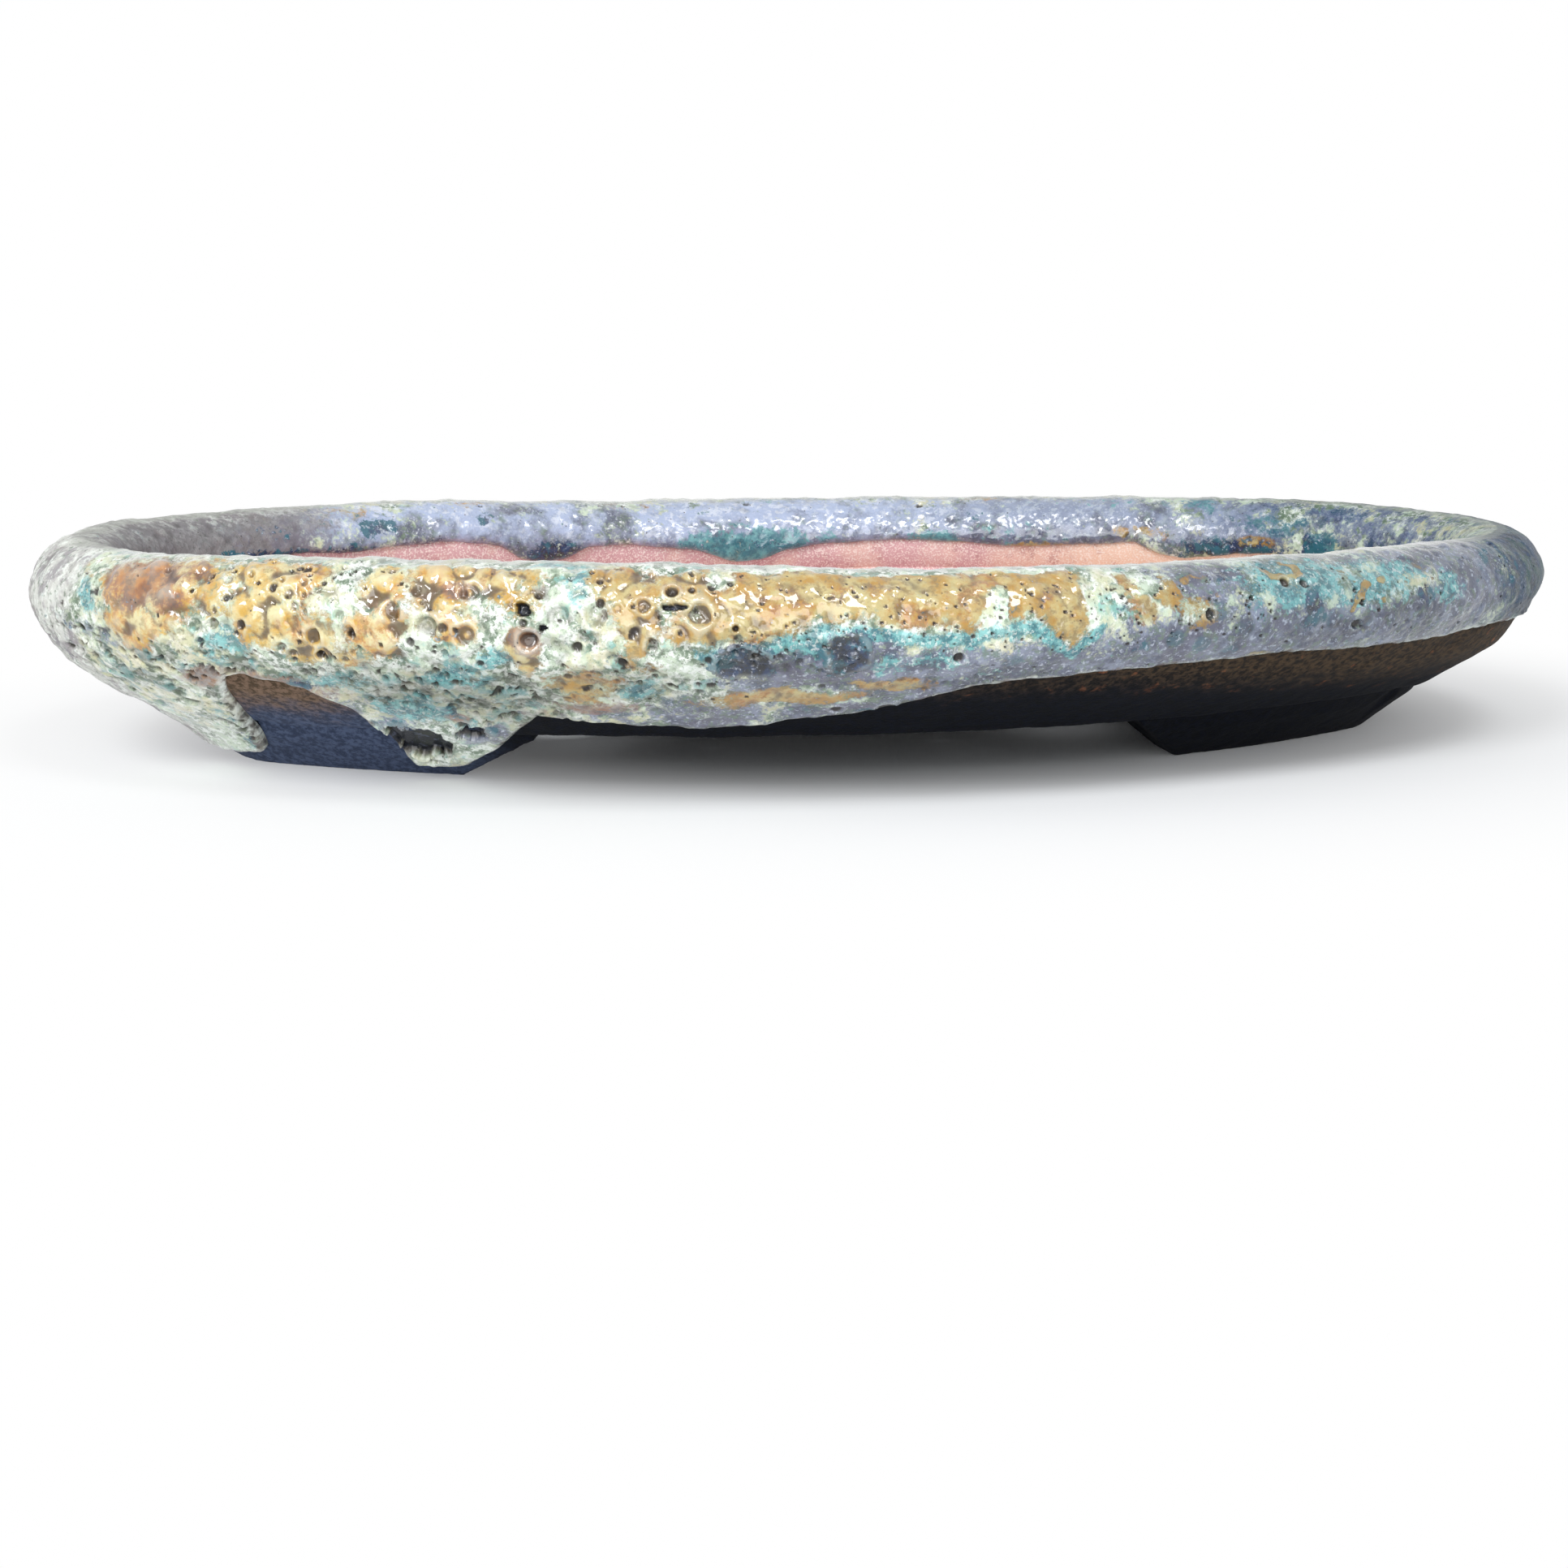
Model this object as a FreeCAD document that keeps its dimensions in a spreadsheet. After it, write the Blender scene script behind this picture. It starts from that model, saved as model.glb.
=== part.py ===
import FreeCAD, Part
import math
import os
import Sketcher
from FreeCAD import Placement, Rotation, Vector

# A hand-built oval bonsai tray with a thick glaze over its rim and wall, in millimetres.
# The plan is a four-centred oval. Every ring-shaped piece is one cross-section turned round the
# oval's four arcs, so all the pieces are concentric and meet face to face.
# In a cross-section, sizes across the wall are insets from the crown line, the oval that runs
# along the top of the rim, and heights are taken from the surface that the tray stands on.
# Origin: centre of the footprint. +X along the length, +Y to the back, +Z up.

doc = FreeCAD.newDocument("bonsai_tray")
sizes = doc.addObject("Spreadsheet::Sheet", "sizes")

SIZES = [
    # plan of the crown line
    ("crown_half_length", 180),
    ("crown_half_width", 92),
    ("end_radius", 58),
    # floor
    ("underside_height", 13),
    ("floor_thickness", 8.5),
    ("wall_base_inset", 20),
    ("floor_edge_inset", 27),
    # wall
    ("seat_height", 32.5),
    ("wall_belly_inset", 3),
    ("wall_belly_height", 23.8),
    ("wall_cove_inset", 15),
    ("wall_cove_height", 24),
    # rolled rim
    ("rim_radius", 10),
    ("rim_centre_inset", 0.5),
    ("rim_centre_above_seat", 7.7),
    # feet
    ("foot_base_inset", 35.5),
    ("foot_base_width", 13),
    ("foot_inner_lean", 3),
    ("foot_edge_chamfer", 1.5),
    ("foot_clear_left", 75),
    ("foot_clear_right", 60),
    ("foot_end_slant", 17),
    ("foot_clear_width", 20),
    # holes in the floor
    ("drain_hole_diameter", 22),
    ("drain_hole_spacing", 124),
    ("wire_hole_diameter", 5),
    ("wire_hole_spacing_along", 56),
    ("wire_hole_spacing_across", 52),
    # glaze
    ("glaze_thickness", 2.1),
    ("inner_glaze_thickness", 1.5),
    ("outer_glaze_line_height", 27),
    ("glaze_pool_clearance", 0.8),
    ("glaze_run_height", 2.5),
    ("inner_glaze_line_height", 39),
    ("glaze_root", 4),
]

for row, (alias, value) in enumerate(SIZES, 1):
    sizes.set(f"A{row}", alias)
    sizes.set(f"B{row}", str(value))
    sizes.setAlias(f"B{row}", alias)
doc.recompute()

# Sizes that follow from the sheet, kept as properties that other objects read.
oval = doc.addObject("App::VarSet", "oval")
DERIVED = [
    ("end_centre", "sizes.crown_half_length - sizes.end_radius"),
    ("side_radius", "(sizes.crown_half_length^2 - 2 * sizes.crown_half_length * sizes.end_radius"
     " + sizes.crown_half_width^2) / (2 * (sizes.crown_half_width - sizes.end_radius))"),
    ("side_centre", "oval.side_radius - sizes.crown_half_width"),
    ("end_half_angle", "atan2(oval.side_centre; oval.end_centre) / 1deg"),
    ("seat_half_width", "sqrt(sizes.rim_radius^2 - sizes.rim_centre_above_seat^2)"),
    ("rim_centre_height", "sizes.seat_height + sizes.rim_centre_above_seat"),
    ("wall_run", "sizes.wall_base_inset - sizes.rim_centre_inset + oval.seat_half_width"),
    ("wall_rise", "sizes.seat_height - sizes.underside_height"),
    ("wall_face", "sqrt(oval.wall_run^2 + oval.wall_rise^2)"),
    ("floor_height", "sizes.underside_height + sizes.floor_thickness"),
    ("foot_face", "sqrt((sizes.foot_base_inset - sizes.wall_base_inset)^2"
     " + sizes.underside_height^2)"),
    ("left_foot_sweep", "acos((sizes.foot_clear_left - sizes.foot_base_width)"
     " / (oval.side_radius - sizes.foot_base_inset)) / 1deg - oval.end_half_angle"),
    ("right_foot_sweep", "acos((sizes.foot_clear_right - sizes.foot_base_width)"
     " / (oval.side_radius - sizes.foot_base_inset)) / 1deg - oval.end_half_angle"),
]
for name, formula in DERIVED:
    oval.addProperty("App::PropertyFloat", name, "oval", "")
    oval.setExpression(name, formula)
    doc.recompute()


def originPlane(body, role):
    """The body's own origin plane with the given role."""
    return next(feature for feature in body.Origin.OriginFeatures if feature.Role == role)


def newSketch(body, name, role):
    sketch = body.newObject("Sketcher::SketchObject", name)
    sketch.AttachmentSupport = [(originPlane(body, role), "")]
    sketch.MapMode = "FlatFace"
    return sketch


def bind(sketch, constraint, formula):
    """Add a dimension and tie it to a formula."""
    index = sketch.addConstraint(constraint)
    sketch.setExpression(f"Constraints[{index}]", formula)


def arcBetween(start, end, radius, side):
    """A circular arc from start to end that swells to the left (side 1) or right (side -1)."""
    chord = end.sub(start)
    reach = math.sqrt(max(radius ** 2 - (chord.Length / 2) ** 2, 0))
    normal = Vector(-chord.y, chord.x, 0).normalize()
    centre = start.add(end).multiply(0.5).sub(normal.multiply(side * reach))
    first, last = (end, start) if side > 0 else (start, end)
    begin, finish = (math.atan2(p.y - centre.y, p.x - centre.x) for p in (first, last))
    if finish < begin:
        finish += 2 * math.pi
    return Part.ArcOfCircle(Part.Circle(centre, Vector(0, 0, 1), radius), begin, finish)


def drawLoop(sketch, corners, curves=None):
    """Draw a closed outline through corners (pairs of formulas), every one of them dimensioned.

    curves gives an edge's radius and swelling side, by the number of the corner it starts from.
    """
    curves = curves or {}
    points = [Vector(*(float(sketch.evalExpression(f"({f}) * 1.0")) for f in pair), 0)
              for pair in corners]
    ends = []
    for number, start in enumerate(points):
        end = points[(number + 1) % len(points)]
        if number in curves:
            formula, side = curves[number]
            radius = float(sketch.evalExpression(f"({formula}) * 1.0"))
            edge = sketch.addGeometry(arcBetween(start, end, radius, side), False)
            bind(sketch, Sketcher.Constraint("Radius", edge, radius), formula)
            ends.append((edge, 2, 1) if side > 0 else (edge, 1, 2))
        else:
            edge = sketch.addGeometry(Part.LineSegment(start, end), False)
            ends.append((edge, 1, 2))
    for number, (edge, first, last) in enumerate(ends):
        after, joint, unused = ends[(number + 1) % len(ends)]
        sketch.addConstraint(Sketcher.Constraint("Coincident", edge, last, after, joint))
        across, up = corners[number]
        point = points[number]
        bind(sketch, Sketcher.Constraint("DistanceX", -1, 1, edge, first, point.x), across)
        bind(sketch, Sketcher.Constraint("DistanceY", -1, 1, edge, first, point.y), up)


# Each arc of the oval: centre along X, centre along Y, radius, first angle and sweep in degrees.
ARCS = {
    "right": ("oval.end_centre", "0", "sizes.end_radius",
              "-oval.end_half_angle", "2 * oval.end_half_angle"),
    "back": ("0", "-oval.side_centre", "oval.side_radius",
             "oval.end_half_angle", "180 - 2 * oval.end_half_angle"),
    "left": ("-oval.end_centre", "0", "sizes.end_radius",
             "180 - oval.end_half_angle", "2 * oval.end_half_angle"),
    "front": ("0", "oval.side_centre", "oval.side_radius",
              "180 + oval.end_half_angle", "180 - 2 * oval.end_half_angle"),
}


def turnAlong(body, arc, section, curves, first=None, sweep=None):
    """Turn a cross-section along one arc of the oval, or along a stretch of it."""
    x, y, radius, arcFirst, arcSweep = ARCS[arc]
    sketch = newSketch(body, f"{body.Name}_{arc}_section", "XZ_Plane")
    sketch.AttachmentOffset = Placement(Vector(), Rotation(Vector(0, 1, 0), 1))
    sketch.setExpression("AttachmentOffset.Base.x", x)
    sketch.setExpression("AttachmentOffset.Base.z", f"-({y})")
    sketch.setExpression("AttachmentOffset.Rotation.Angle", first or arcFirst)
    corners = [(f"{radius} - ({inset})", height) for inset, height in section]
    drawLoop(sketch, corners, curves)
    turn = body.newObject("PartDesign::Revolution", f"{body.Name}_{arc}")
    turn.Profile = sketch
    turn.ReferenceAxis = (sketch, ["V_Axis"])
    turn.setExpression("Angle", sweep or arcSweep)
    doc.recompute()


def ringBody(name, section, curves):
    """A piece with the same cross-section all the way round the oval."""
    body = doc.addObject("PartDesign::Body", name)
    for arc in ARCS:
        turnAlong(body, arc, section, curves)
    return body


def drawOval(sketch, inset):
    """The crown oval moved inwards by inset, from its four arcs."""
    arcs = []
    for x, y, radius, first, sweep in ARCS.values():
        values = [float(sketch.evalExpression(f"({f}) * 1.0"))
                  for f in (x, y, f"{radius} - {inset}", first, sweep)]
        start = math.radians(values[3])
        circle = Part.Circle(Vector(values[0], values[1], 0), Vector(0, 0, 1), values[2])
        arc = sketch.addGeometry(
            Part.ArcOfCircle(circle, start, start + math.radians(values[4])), False)
        bind(sketch, Sketcher.Constraint("Radius", arc, values[2]), f"{radius} - {inset}")
        if y == "0":
            bind(sketch, Sketcher.Constraint("DistanceX", -1, 1, arc, 3, values[0]), x)
            bind(sketch, Sketcher.Constraint("DistanceY", -1, 1, arc, 3, values[1]), y)
        arcs.append(arc)
    for number, arc in enumerate(arcs):
        after = arcs[(number + 1) % len(arcs)]
        sketch.addConstraint(Sketcher.Constraint("Tangent", arc, 2, after, 1))


def drawHoles(sketch, diameter, places):
    for across, along in places:
        centre = Vector(*(float(sketch.evalExpression(f"({f}) * 1.0")) for f in (across, along)), 0)
        radius = float(sketch.evalExpression(f"({diameter}) * 0.5"))
        hole = sketch.addGeometry(Part.Circle(centre, Vector(0, 0, 1), radius), False)
        bind(sketch, Sketcher.Constraint("Diameter", hole, 2 * radius), diameter)
        bind(sketch, Sketcher.Constraint("DistanceX", -1, 1, hole, 3, centre.x), across)
        bind(sketch, Sketcher.Constraint("DistanceY", -1, 1, hole, 3, centre.y), along)


# Floor: a slab with a bevelled edge that the wall is luted to, drain holes and wire holes.
floor = doc.addObject("PartDesign::Body", "floor_slab")
outline = newSketch(floor, "floor_outline", "XY_Plane")
outline.setExpression("AttachmentOffset.Base.z", "sizes.underside_height")
drawOval(outline, "sizes.wall_base_inset")
slab = floor.newObject("PartDesign::Pad", "slab")
slab.Profile = outline
slab.setExpression("Length", "sizes.floor_thickness")
slab.setExpression(
    "TaperAngle",
    "-atan((sizes.floor_edge_inset - sizes.wall_base_inset) / sizes.floor_thickness) / 1deg")
doc.recompute()

DRAIN_PLACES = [(f"{side} * sizes.drain_hole_spacing / 2", "0") for side in (-1, 1)]
WIRE_PLACES = [(f"{side} * sizes.wire_hole_spacing_along / 2",
                f"{end} * sizes.wire_hole_spacing_across / 2")
               for side in (-1, 1) for end in (-1, 1)]
holes = newSketch(floor, "floor_holes", "XY_Plane")
holes.setExpression("AttachmentOffset.Base.z", "sizes.underside_height")
drawHoles(holes, "sizes.drain_hole_diameter", DRAIN_PLACES)
drawHoles(holes, "sizes.wire_hole_diameter", WIRE_PLACES)
pierce = floor.newObject("PartDesign::Pocket", "pierce")
pierce.Profile = holes
pierce.Reversed = True
pierce.setExpression("Length", "sizes.floor_thickness")

# Wall: bellied outside, coved inside, with a flat top that the rim coil sits on.
SEAT_OUTER = ("sizes.rim_centre_inset - oval.seat_half_width", "sizes.seat_height")
SEAT_INNER = ("sizes.rim_centre_inset + oval.seat_half_width", "sizes.seat_height")
WALL_BASE = ("sizes.wall_base_inset", "sizes.underside_height")
WALL_BELLY = ("sizes.wall_belly_inset", "sizes.wall_belly_height")
WALL_COVE = ("sizes.wall_cove_inset", "sizes.wall_cove_height")
FLOOR_EDGE = ("sizes.floor_edge_inset", "oval.floor_height")
wall = ringBody(
    "wall_ring", [WALL_BASE, WALL_BELLY, SEAT_OUTER, SEAT_INNER, WALL_COVE, FLOOR_EDGE], {})

# Rim: a thick coil, paddled in flats that the glaze rounds over, and pressed flat underneath.
PADDLED = [(f"sizes.rim_centre_inset - sizes.rim_radius * cos({turn})",
            f"oval.rim_centre_height + sizes.rim_radius * sin({turn})")
           for turn in (-12, 26, 62, 90, 122, 156, 190)]
rim = ringBody("rim_coil", [SEAT_OUTER] + PADDLED + [SEAT_INNER], {})

# Feet: four curved slabs under the corners, each one bent round an end of the oval.
FOOT_INSIDE = "(sizes.foot_base_inset + sizes.foot_base_width)"
FOOT_SECTION = [
    WALL_BASE,
    (f"{FOOT_INSIDE} - sizes.foot_inner_lean", "sizes.underside_height"),
    (FOOT_INSIDE, "sizes.foot_edge_chamfer"),
    (f"{FOOT_INSIDE} - sizes.foot_edge_chamfer", "0"),
    ("sizes.foot_base_inset", "0"),
]
# Each foot: its two arcs with their first angles, the way its end lies along X and which side.
FEET = {
    "foot_front_right": (("front", "-oval.end_half_angle - oval.right_foot_sweep"),
                         ("right", "-oval.end_half_angle"), 1, "right"),
    "foot_back_right": (("back", "oval.end_half_angle"), ("right", "0"), 1, "right"),
    "foot_back_left": (("back", "180 - oval.end_half_angle - oval.left_foot_sweep"),
                       ("left", "180 - oval.end_half_angle"), -1, "left"),
    "foot_front_left": (("front", "180 + oval.end_half_angle"), ("left", "180"), -1, "left"),
}


def trimFootEnd(body, way):
    """Cut the foot off square at the gap between it and the foot across the tray."""
    gap = newSketch(body, f"{body.Name}_gap", "XY_Plane")
    half = "sizes.foot_clear_width / 2"
    reach = f"{way} * sizes.crown_half_length"
    drawLoop(gap, [("0", f"-{half}"), (reach, f"-{half}"), (reach, half), ("0", half)])
    cut = body.newObject("PartDesign::Pocket", f"{body.Name}_end")
    cut.Profile = gap
    cut.Reversed = True
    cut.setExpression("Length", "sizes.underside_height")
    doc.recompute()


def slopeFootEnd(body, way, clear):
    """Cut the end that faces the middle of the tray to a slope, longest where it meets the clay."""
    slope = newSketch(body, f"{body.Name}_slope", "XZ_Plane")
    drawLoop(slope, [
        ("0", "0"), ("0", "sizes.underside_height"),
        (f"{way} * {clear}", "sizes.underside_height"),
        (f"{way} * ({clear} + sizes.foot_end_slant)", "0")])
    cut = body.newObject("PartDesign::Pocket", f"{body.Name}_sloped_end")
    cut.Profile = slope
    cut.Type = "ThroughAll"
    cut.Midplane = True
    doc.recompute()


feet = []
for name, ((side, sideFirst), (end, endFirst), way, half) in FEET.items():
    foot = doc.addObject("PartDesign::Body", name)
    turnAlong(foot, side, FOOT_SECTION, {}, sideFirst, f"oval.{half}_foot_sweep")
    turnAlong(foot, end, FOOT_SECTION, {}, endFirst, "oval.end_half_angle")
    trimFootEnd(foot, way)
    slopeFootEnd(foot, way, f"sizes.foot_clear_{half}")
    feet.append(foot)
clay = [floor, wall, rim] + feet

# Glaze: two thick coats that meet along the crown line. Each is first an over-thick ring, which
# the clay is then cut from, so the coat's back is the clay's own surface. The ring is then
# trimmed along an uneven line, and burst bubbles are cut in it.
SKIN = "(sizes.rim_radius + sizes.glaze_thickness)"
INNER_SKIN = "(sizes.rim_radius + sizes.inner_glaze_thickness)"
GLAZE_TOP = ("sizes.rim_centre_inset", f"oval.rim_centre_height + {SKIN}")
RIM_CENTRE = ("sizes.rim_centre_inset", "oval.rim_centre_height")
WAIST_HEIGHT = "(sizes.seat_height - sizes.glaze_thickness)"
OUTER_SECTION = [
    ("sizes.foot_base_inset - sizes.glaze_thickness * oval.foot_face / sizes.underside_height",
     "0"),
    ("sizes.wall_base_inset - sizes.glaze_thickness * sizes.underside_height / oval.foot_face",
     "sizes.underside_height - sizes.glaze_thickness"
     " * (sizes.foot_base_inset - sizes.wall_base_inset) / oval.foot_face"),
    ("sizes.wall_belly_inset - sizes.glaze_thickness * oval.wall_rise / oval.wall_face",
     "sizes.wall_belly_height - sizes.glaze_thickness * oval.wall_run / oval.wall_face"),
    (f"sizes.rim_centre_inset - sqrt({SKIN}^2 - (oval.rim_centre_height - {WAIST_HEIGHT})^2)",
     WAIST_HEIGHT),
    GLAZE_TOP,
    RIM_CENTRE,
    (f"{SEAT_OUTER[0]} + sizes.glaze_root", "sizes.seat_height"),
    ("sizes.wall_base_inset + sizes.glaze_root", "sizes.underside_height + sizes.glaze_root / 2"),
    ("sizes.foot_base_inset + sizes.glaze_root", "0"),
]
INNER_BOTTOM = "(sizes.inner_glaze_line_height - sizes.glaze_root)"
INNER_SECTION = [
    GLAZE_TOP,
    (f"sizes.rim_centre_inset + sqrt({INNER_SKIN}^2"
     f" - (oval.rim_centre_height - {INNER_BOTTOM})^2)", INNER_BOTTOM),
    ("sizes.rim_centre_inset + sizes.glaze_root / 2", INNER_BOTTOM),
    RIM_CENTRE,
]
outerRing = ringBody(
    "outer_glaze_ring", OUTER_SECTION,
    {3: (SKIN, -1)})
innerRing = ringBody(
    "inner_glaze_ring", INNER_SECTION,
    {0: (f"({SKIN} + {INNER_SKIN}) / 2", -1)})

# The outer glaze stops at an uneven line, given as levels: 2 is its usual height, 1 just clear
# of the underside and 0 the bottom of a run, which only a foot can carry. Angles go round the
# oval from the right end. The glaze runs down the front left foot twice.
BEFORE_FOOT = [(0, 2), (15, 1.9), (35, 2), (60, 1.85), (80, 1.7), (100, 1.77), (125, 1.92),
               (145, 1.77), (165, 1.55), (178, 1.25)]
DOWN_FOOT = [(0.06, 1.05), (0.145, 0.35), (0.252, 0.05), (0.361, 0.4), (0.434, 1), (0.526, 1.45),
             (0.61, 1.5), (0.67, 1.2), (0.715, 0.55), (0.777, 0.05), (0.834, 0.03),
             (0.89, 0.4), (0.936, 0.85), (0.982, 1.05)]
AFTER_FOOT = [(245, 1.08), (254, 1.04), (262, 1.04), (270, 1.15), (278, 1.45), (286, 1.8),
              (296, 1.93), (312, 1.96), (330, 2.05), (345, 2)]


def levelHeight(level):
    pool = sizes.underside_height + sizes.glaze_pool_clearance
    if level < 1:
        return sizes.glaze_run_height + level * (pool - sizes.glaze_run_height)
    return pool + (level - 1) * (sizes.outer_glaze_line_height - pool)


def outerLine():
    """The outer glaze line as pairs of angle and height."""
    inset = (sizes.wall_base_inset + sizes.foot_base_inset) / 2
    across = sizes.foot_clear_width / 2 / (sizes.crown_half_width - inset)
    sloped = sizes.foot_clear_left + sizes.foot_end_slant
    along = sloped / (sizes.crown_half_length - inset)
    first = 180 + math.degrees(math.asin(across))
    last = 180 + math.degrees(math.acos(along))
    down = [(first + share * (last - first), level) for share, level in DOWN_FOOT]
    return [(angle, levelHeight(level)) for angle, level in BEFORE_FOOT + down + AFTER_FOOT]


def innerLine(rises=(0, 1, -0.6, 0.3, -0.8, 1.2, -0.4, 0.6, -0.5, 0.4, -0.3, 0.6)):
    """The inner glaze line, with its rises and dips evenly spread round the oval."""
    return [(360 * number / len(rises), sizes.inner_glaze_line_height + rise)
            for number, rise in enumerate(rises)]


def waveLine(line, grow):
    """A closed curve over the crown oval, grown outwards, that rises and falls with the line."""
    length = sizes.crown_half_length + grow
    width = sizes.crown_half_width + grow
    points = [Vector(length * math.cos(math.radians(angle)),
                     width * math.sin(math.radians(angle)), height)
              for angle, height in line]
    curve = Part.BSplineCurve()
    curve.interpolate(Points=points, PeriodicFlag=True,
                      Parameters=[angle for angle, height in line] + [360])
    return curve.toShape()


def trimBelow(name, line):
    """All that lies under a wavy sheet across the wall."""
    inside = waveLine(line, -0.6 * sizes.crown_half_width)
    outside = waveLine(line, sizes.crown_half_width / 4)
    sheet = Part.makeRuledSurface(inside, outside)
    under = doc.addObject("Part::Feature", name)
    under.Shape = sheet.extrude(Vector(0, 0, -2 * sizes.outer_glaze_line_height))
    return under


def cutAway(name, base, tool):
    cut = doc.addObject("Part::Cut", name)
    cut.Base = base
    cut.Tool = tool
    doc.recompute()
    return cut


def gather(name, members):
    group = doc.addObject("Part::Compound", name)
    group.Links = members
    doc.recompute()
    return group


# The largest burst bubbles in the rim's glaze: place along X, side of the tray (-1 front, 1 back), angle
# up from the rim's outermost line, radius of the bubble and depth.
BUBBLES = [
    (-72, -1, 12, 4.2, 1.4), (-36, -1, -32, 7.0, 1.3), (-15, -1, -30, 6.5, 1.3),
    (47, -1, 28, 3.4, 1.3), (-60, 1, 5, 4.0, 1.3),
]


def crownPoint(along, side):
    """The point of the crown line at a place along X, and the way that faces outwards there."""
    junction = oval.end_centre + sizes.end_radius * math.cos(math.radians(oval.end_half_angle))
    if abs(along) > junction:
        centre = Vector(math.copysign(oval.end_centre, along), 0, 0)
        radius = sizes.end_radius
    else:
        centre = Vector(0, -side * oval.side_centre, 0)
        radius = oval.side_radius
    across = side * math.sqrt(radius ** 2 - (along - centre.x) ** 2)
    point = Vector(along, centre.y + across, 0)
    return point, point.sub(centre).normalize()


def bubble(number, along, side, tilt, radius, depth):
    point, outwards = crownPoint(along, side)
    lean = math.radians(tilt)
    away = outwards * math.cos(lean) + Vector(0, 0, math.sin(lean))
    skin = sizes.rim_radius + sizes.glaze_thickness
    ball = doc.addObject("Part::Sphere", f"bubble_{number}")
    ball.Radius = radius
    ball.Placement.Base = (point - outwards * sizes.rim_centre_inset
                           + Vector(0, 0, oval.rim_centre_height)
                           + away * (skin + radius - depth))
    return ball


outerTrim = trimBelow("outer_glaze_trim", outerLine())
innerTrim = trimBelow("inner_glaze_trim", innerLine())
bubbles = gather("bubbles", [bubble(number, *row) for number, row in enumerate(BUBBLES, 1)])
outerCoat = cutAway("outer_coat", outerRing, gather("clay", clay))
outerGlaze = cutAway("outer_glaze_run", outerCoat, outerTrim)
outerGlaze = cutAway("glaze_outer", outerGlaze, bubbles)
innerCoat = cutAway("inner_coat", innerRing, rim)
innerGlaze = cutAway("glaze_inner", innerCoat, innerTrim)

doc.recompute()
failed = [thing.Name for thing in doc.Objects
          if "Invalid" in thing.State or "Error" in thing.State]
if failed:
    raise RuntimeError("not recomputed: " + ", ".join(failed))

pieces = clay + [outerGlaze, innerGlaze]
for piece in pieces:
    shape = piece.Shape
    if shape.isNull() or not shape.isValid():
        raise RuntimeError("bad shape: " + piece.Label)

os.makedirs("parts", exist_ok=True)
for piece in pieces:
    piece.Shape.exportStep(f"parts/{piece.Label}.step")
    box = piece.Shape.BoundBox
    print(f"{piece.Label}: {len(piece.Shape.Solids)} solid, {piece.Shape.Volume:.0f} mm3,"
          f" x {box.XMin:.1f} to {box.XMax:.1f}, y {box.YMin:.1f} to {box.YMax:.1f},"
          f" z {box.ZMin:.1f} to {box.ZMax:.1f}")
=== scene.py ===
import math

import bpy
import numpy as np
from mathutils import Matrix, Vector


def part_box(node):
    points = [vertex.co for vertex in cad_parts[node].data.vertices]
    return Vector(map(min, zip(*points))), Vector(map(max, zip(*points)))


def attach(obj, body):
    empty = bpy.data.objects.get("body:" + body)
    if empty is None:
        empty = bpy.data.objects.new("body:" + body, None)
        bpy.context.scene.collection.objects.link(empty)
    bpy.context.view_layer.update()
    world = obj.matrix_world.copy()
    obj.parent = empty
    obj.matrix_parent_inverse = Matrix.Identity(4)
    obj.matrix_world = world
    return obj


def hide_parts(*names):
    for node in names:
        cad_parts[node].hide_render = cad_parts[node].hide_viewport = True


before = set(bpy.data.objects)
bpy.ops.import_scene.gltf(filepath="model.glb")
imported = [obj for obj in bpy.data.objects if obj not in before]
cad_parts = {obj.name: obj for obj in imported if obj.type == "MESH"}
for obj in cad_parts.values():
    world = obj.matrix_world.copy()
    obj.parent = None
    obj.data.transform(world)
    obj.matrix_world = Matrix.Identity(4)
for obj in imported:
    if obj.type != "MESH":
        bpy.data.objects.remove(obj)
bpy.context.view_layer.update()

mm = 0.001
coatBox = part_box("glaze_inner")
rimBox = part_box("rim_coil")
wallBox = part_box("wall_ring")
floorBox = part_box("floor_slab")

# The oval of the crown line, in millimetres, worked out from the frame's own boxes.
crownInset = 0.5                       # how far the crown of the roll lies inside the oval
oval = {
    "halfLength": coatBox[1][0] / mm + crownInset,
    "halfWidth": coatBox[1][1] / mm + crownInset,
    "endRadius": 58,
}
oval["endCentre"] = oval["halfLength"] - oval["endRadius"]
oval["sideRadius"] = ((oval["halfLength"] ** 2 - 2 * oval["halfLength"] * oval["endRadius"]
                       + oval["halfWidth"] ** 2) / (2 * (oval["halfWidth"] - oval["endRadius"])))
oval["sideCentre"] = oval["sideRadius"] - oval["halfWidth"]
oval["phi"] = math.atan2(oval["sideCentre"], oval["endCentre"])

# The oval's four arcs, from the left end round the front: centre, radius, first angle, sweep.
endSweep = 2 * oval["phi"]
sideSweep = math.pi - endSweep
arcs = [
    ((-oval["endCentre"], 0), oval["endRadius"], math.pi, oval["phi"]),
    ((0, oval["sideCentre"]), oval["sideRadius"], math.pi + oval["phi"], sideSweep),
    ((oval["endCentre"], 0), oval["endRadius"], -oval["phi"], endSweep),
    ((0, -oval["sideCentre"]), oval["sideRadius"], oval["phi"], sideSweep),
    ((-oval["endCentre"], 0), oval["endRadius"], math.pi - oval["phi"], oval["phi"]),
]
girth = sum(radius * sweep for centre, radius, first, sweep in arcs)


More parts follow.
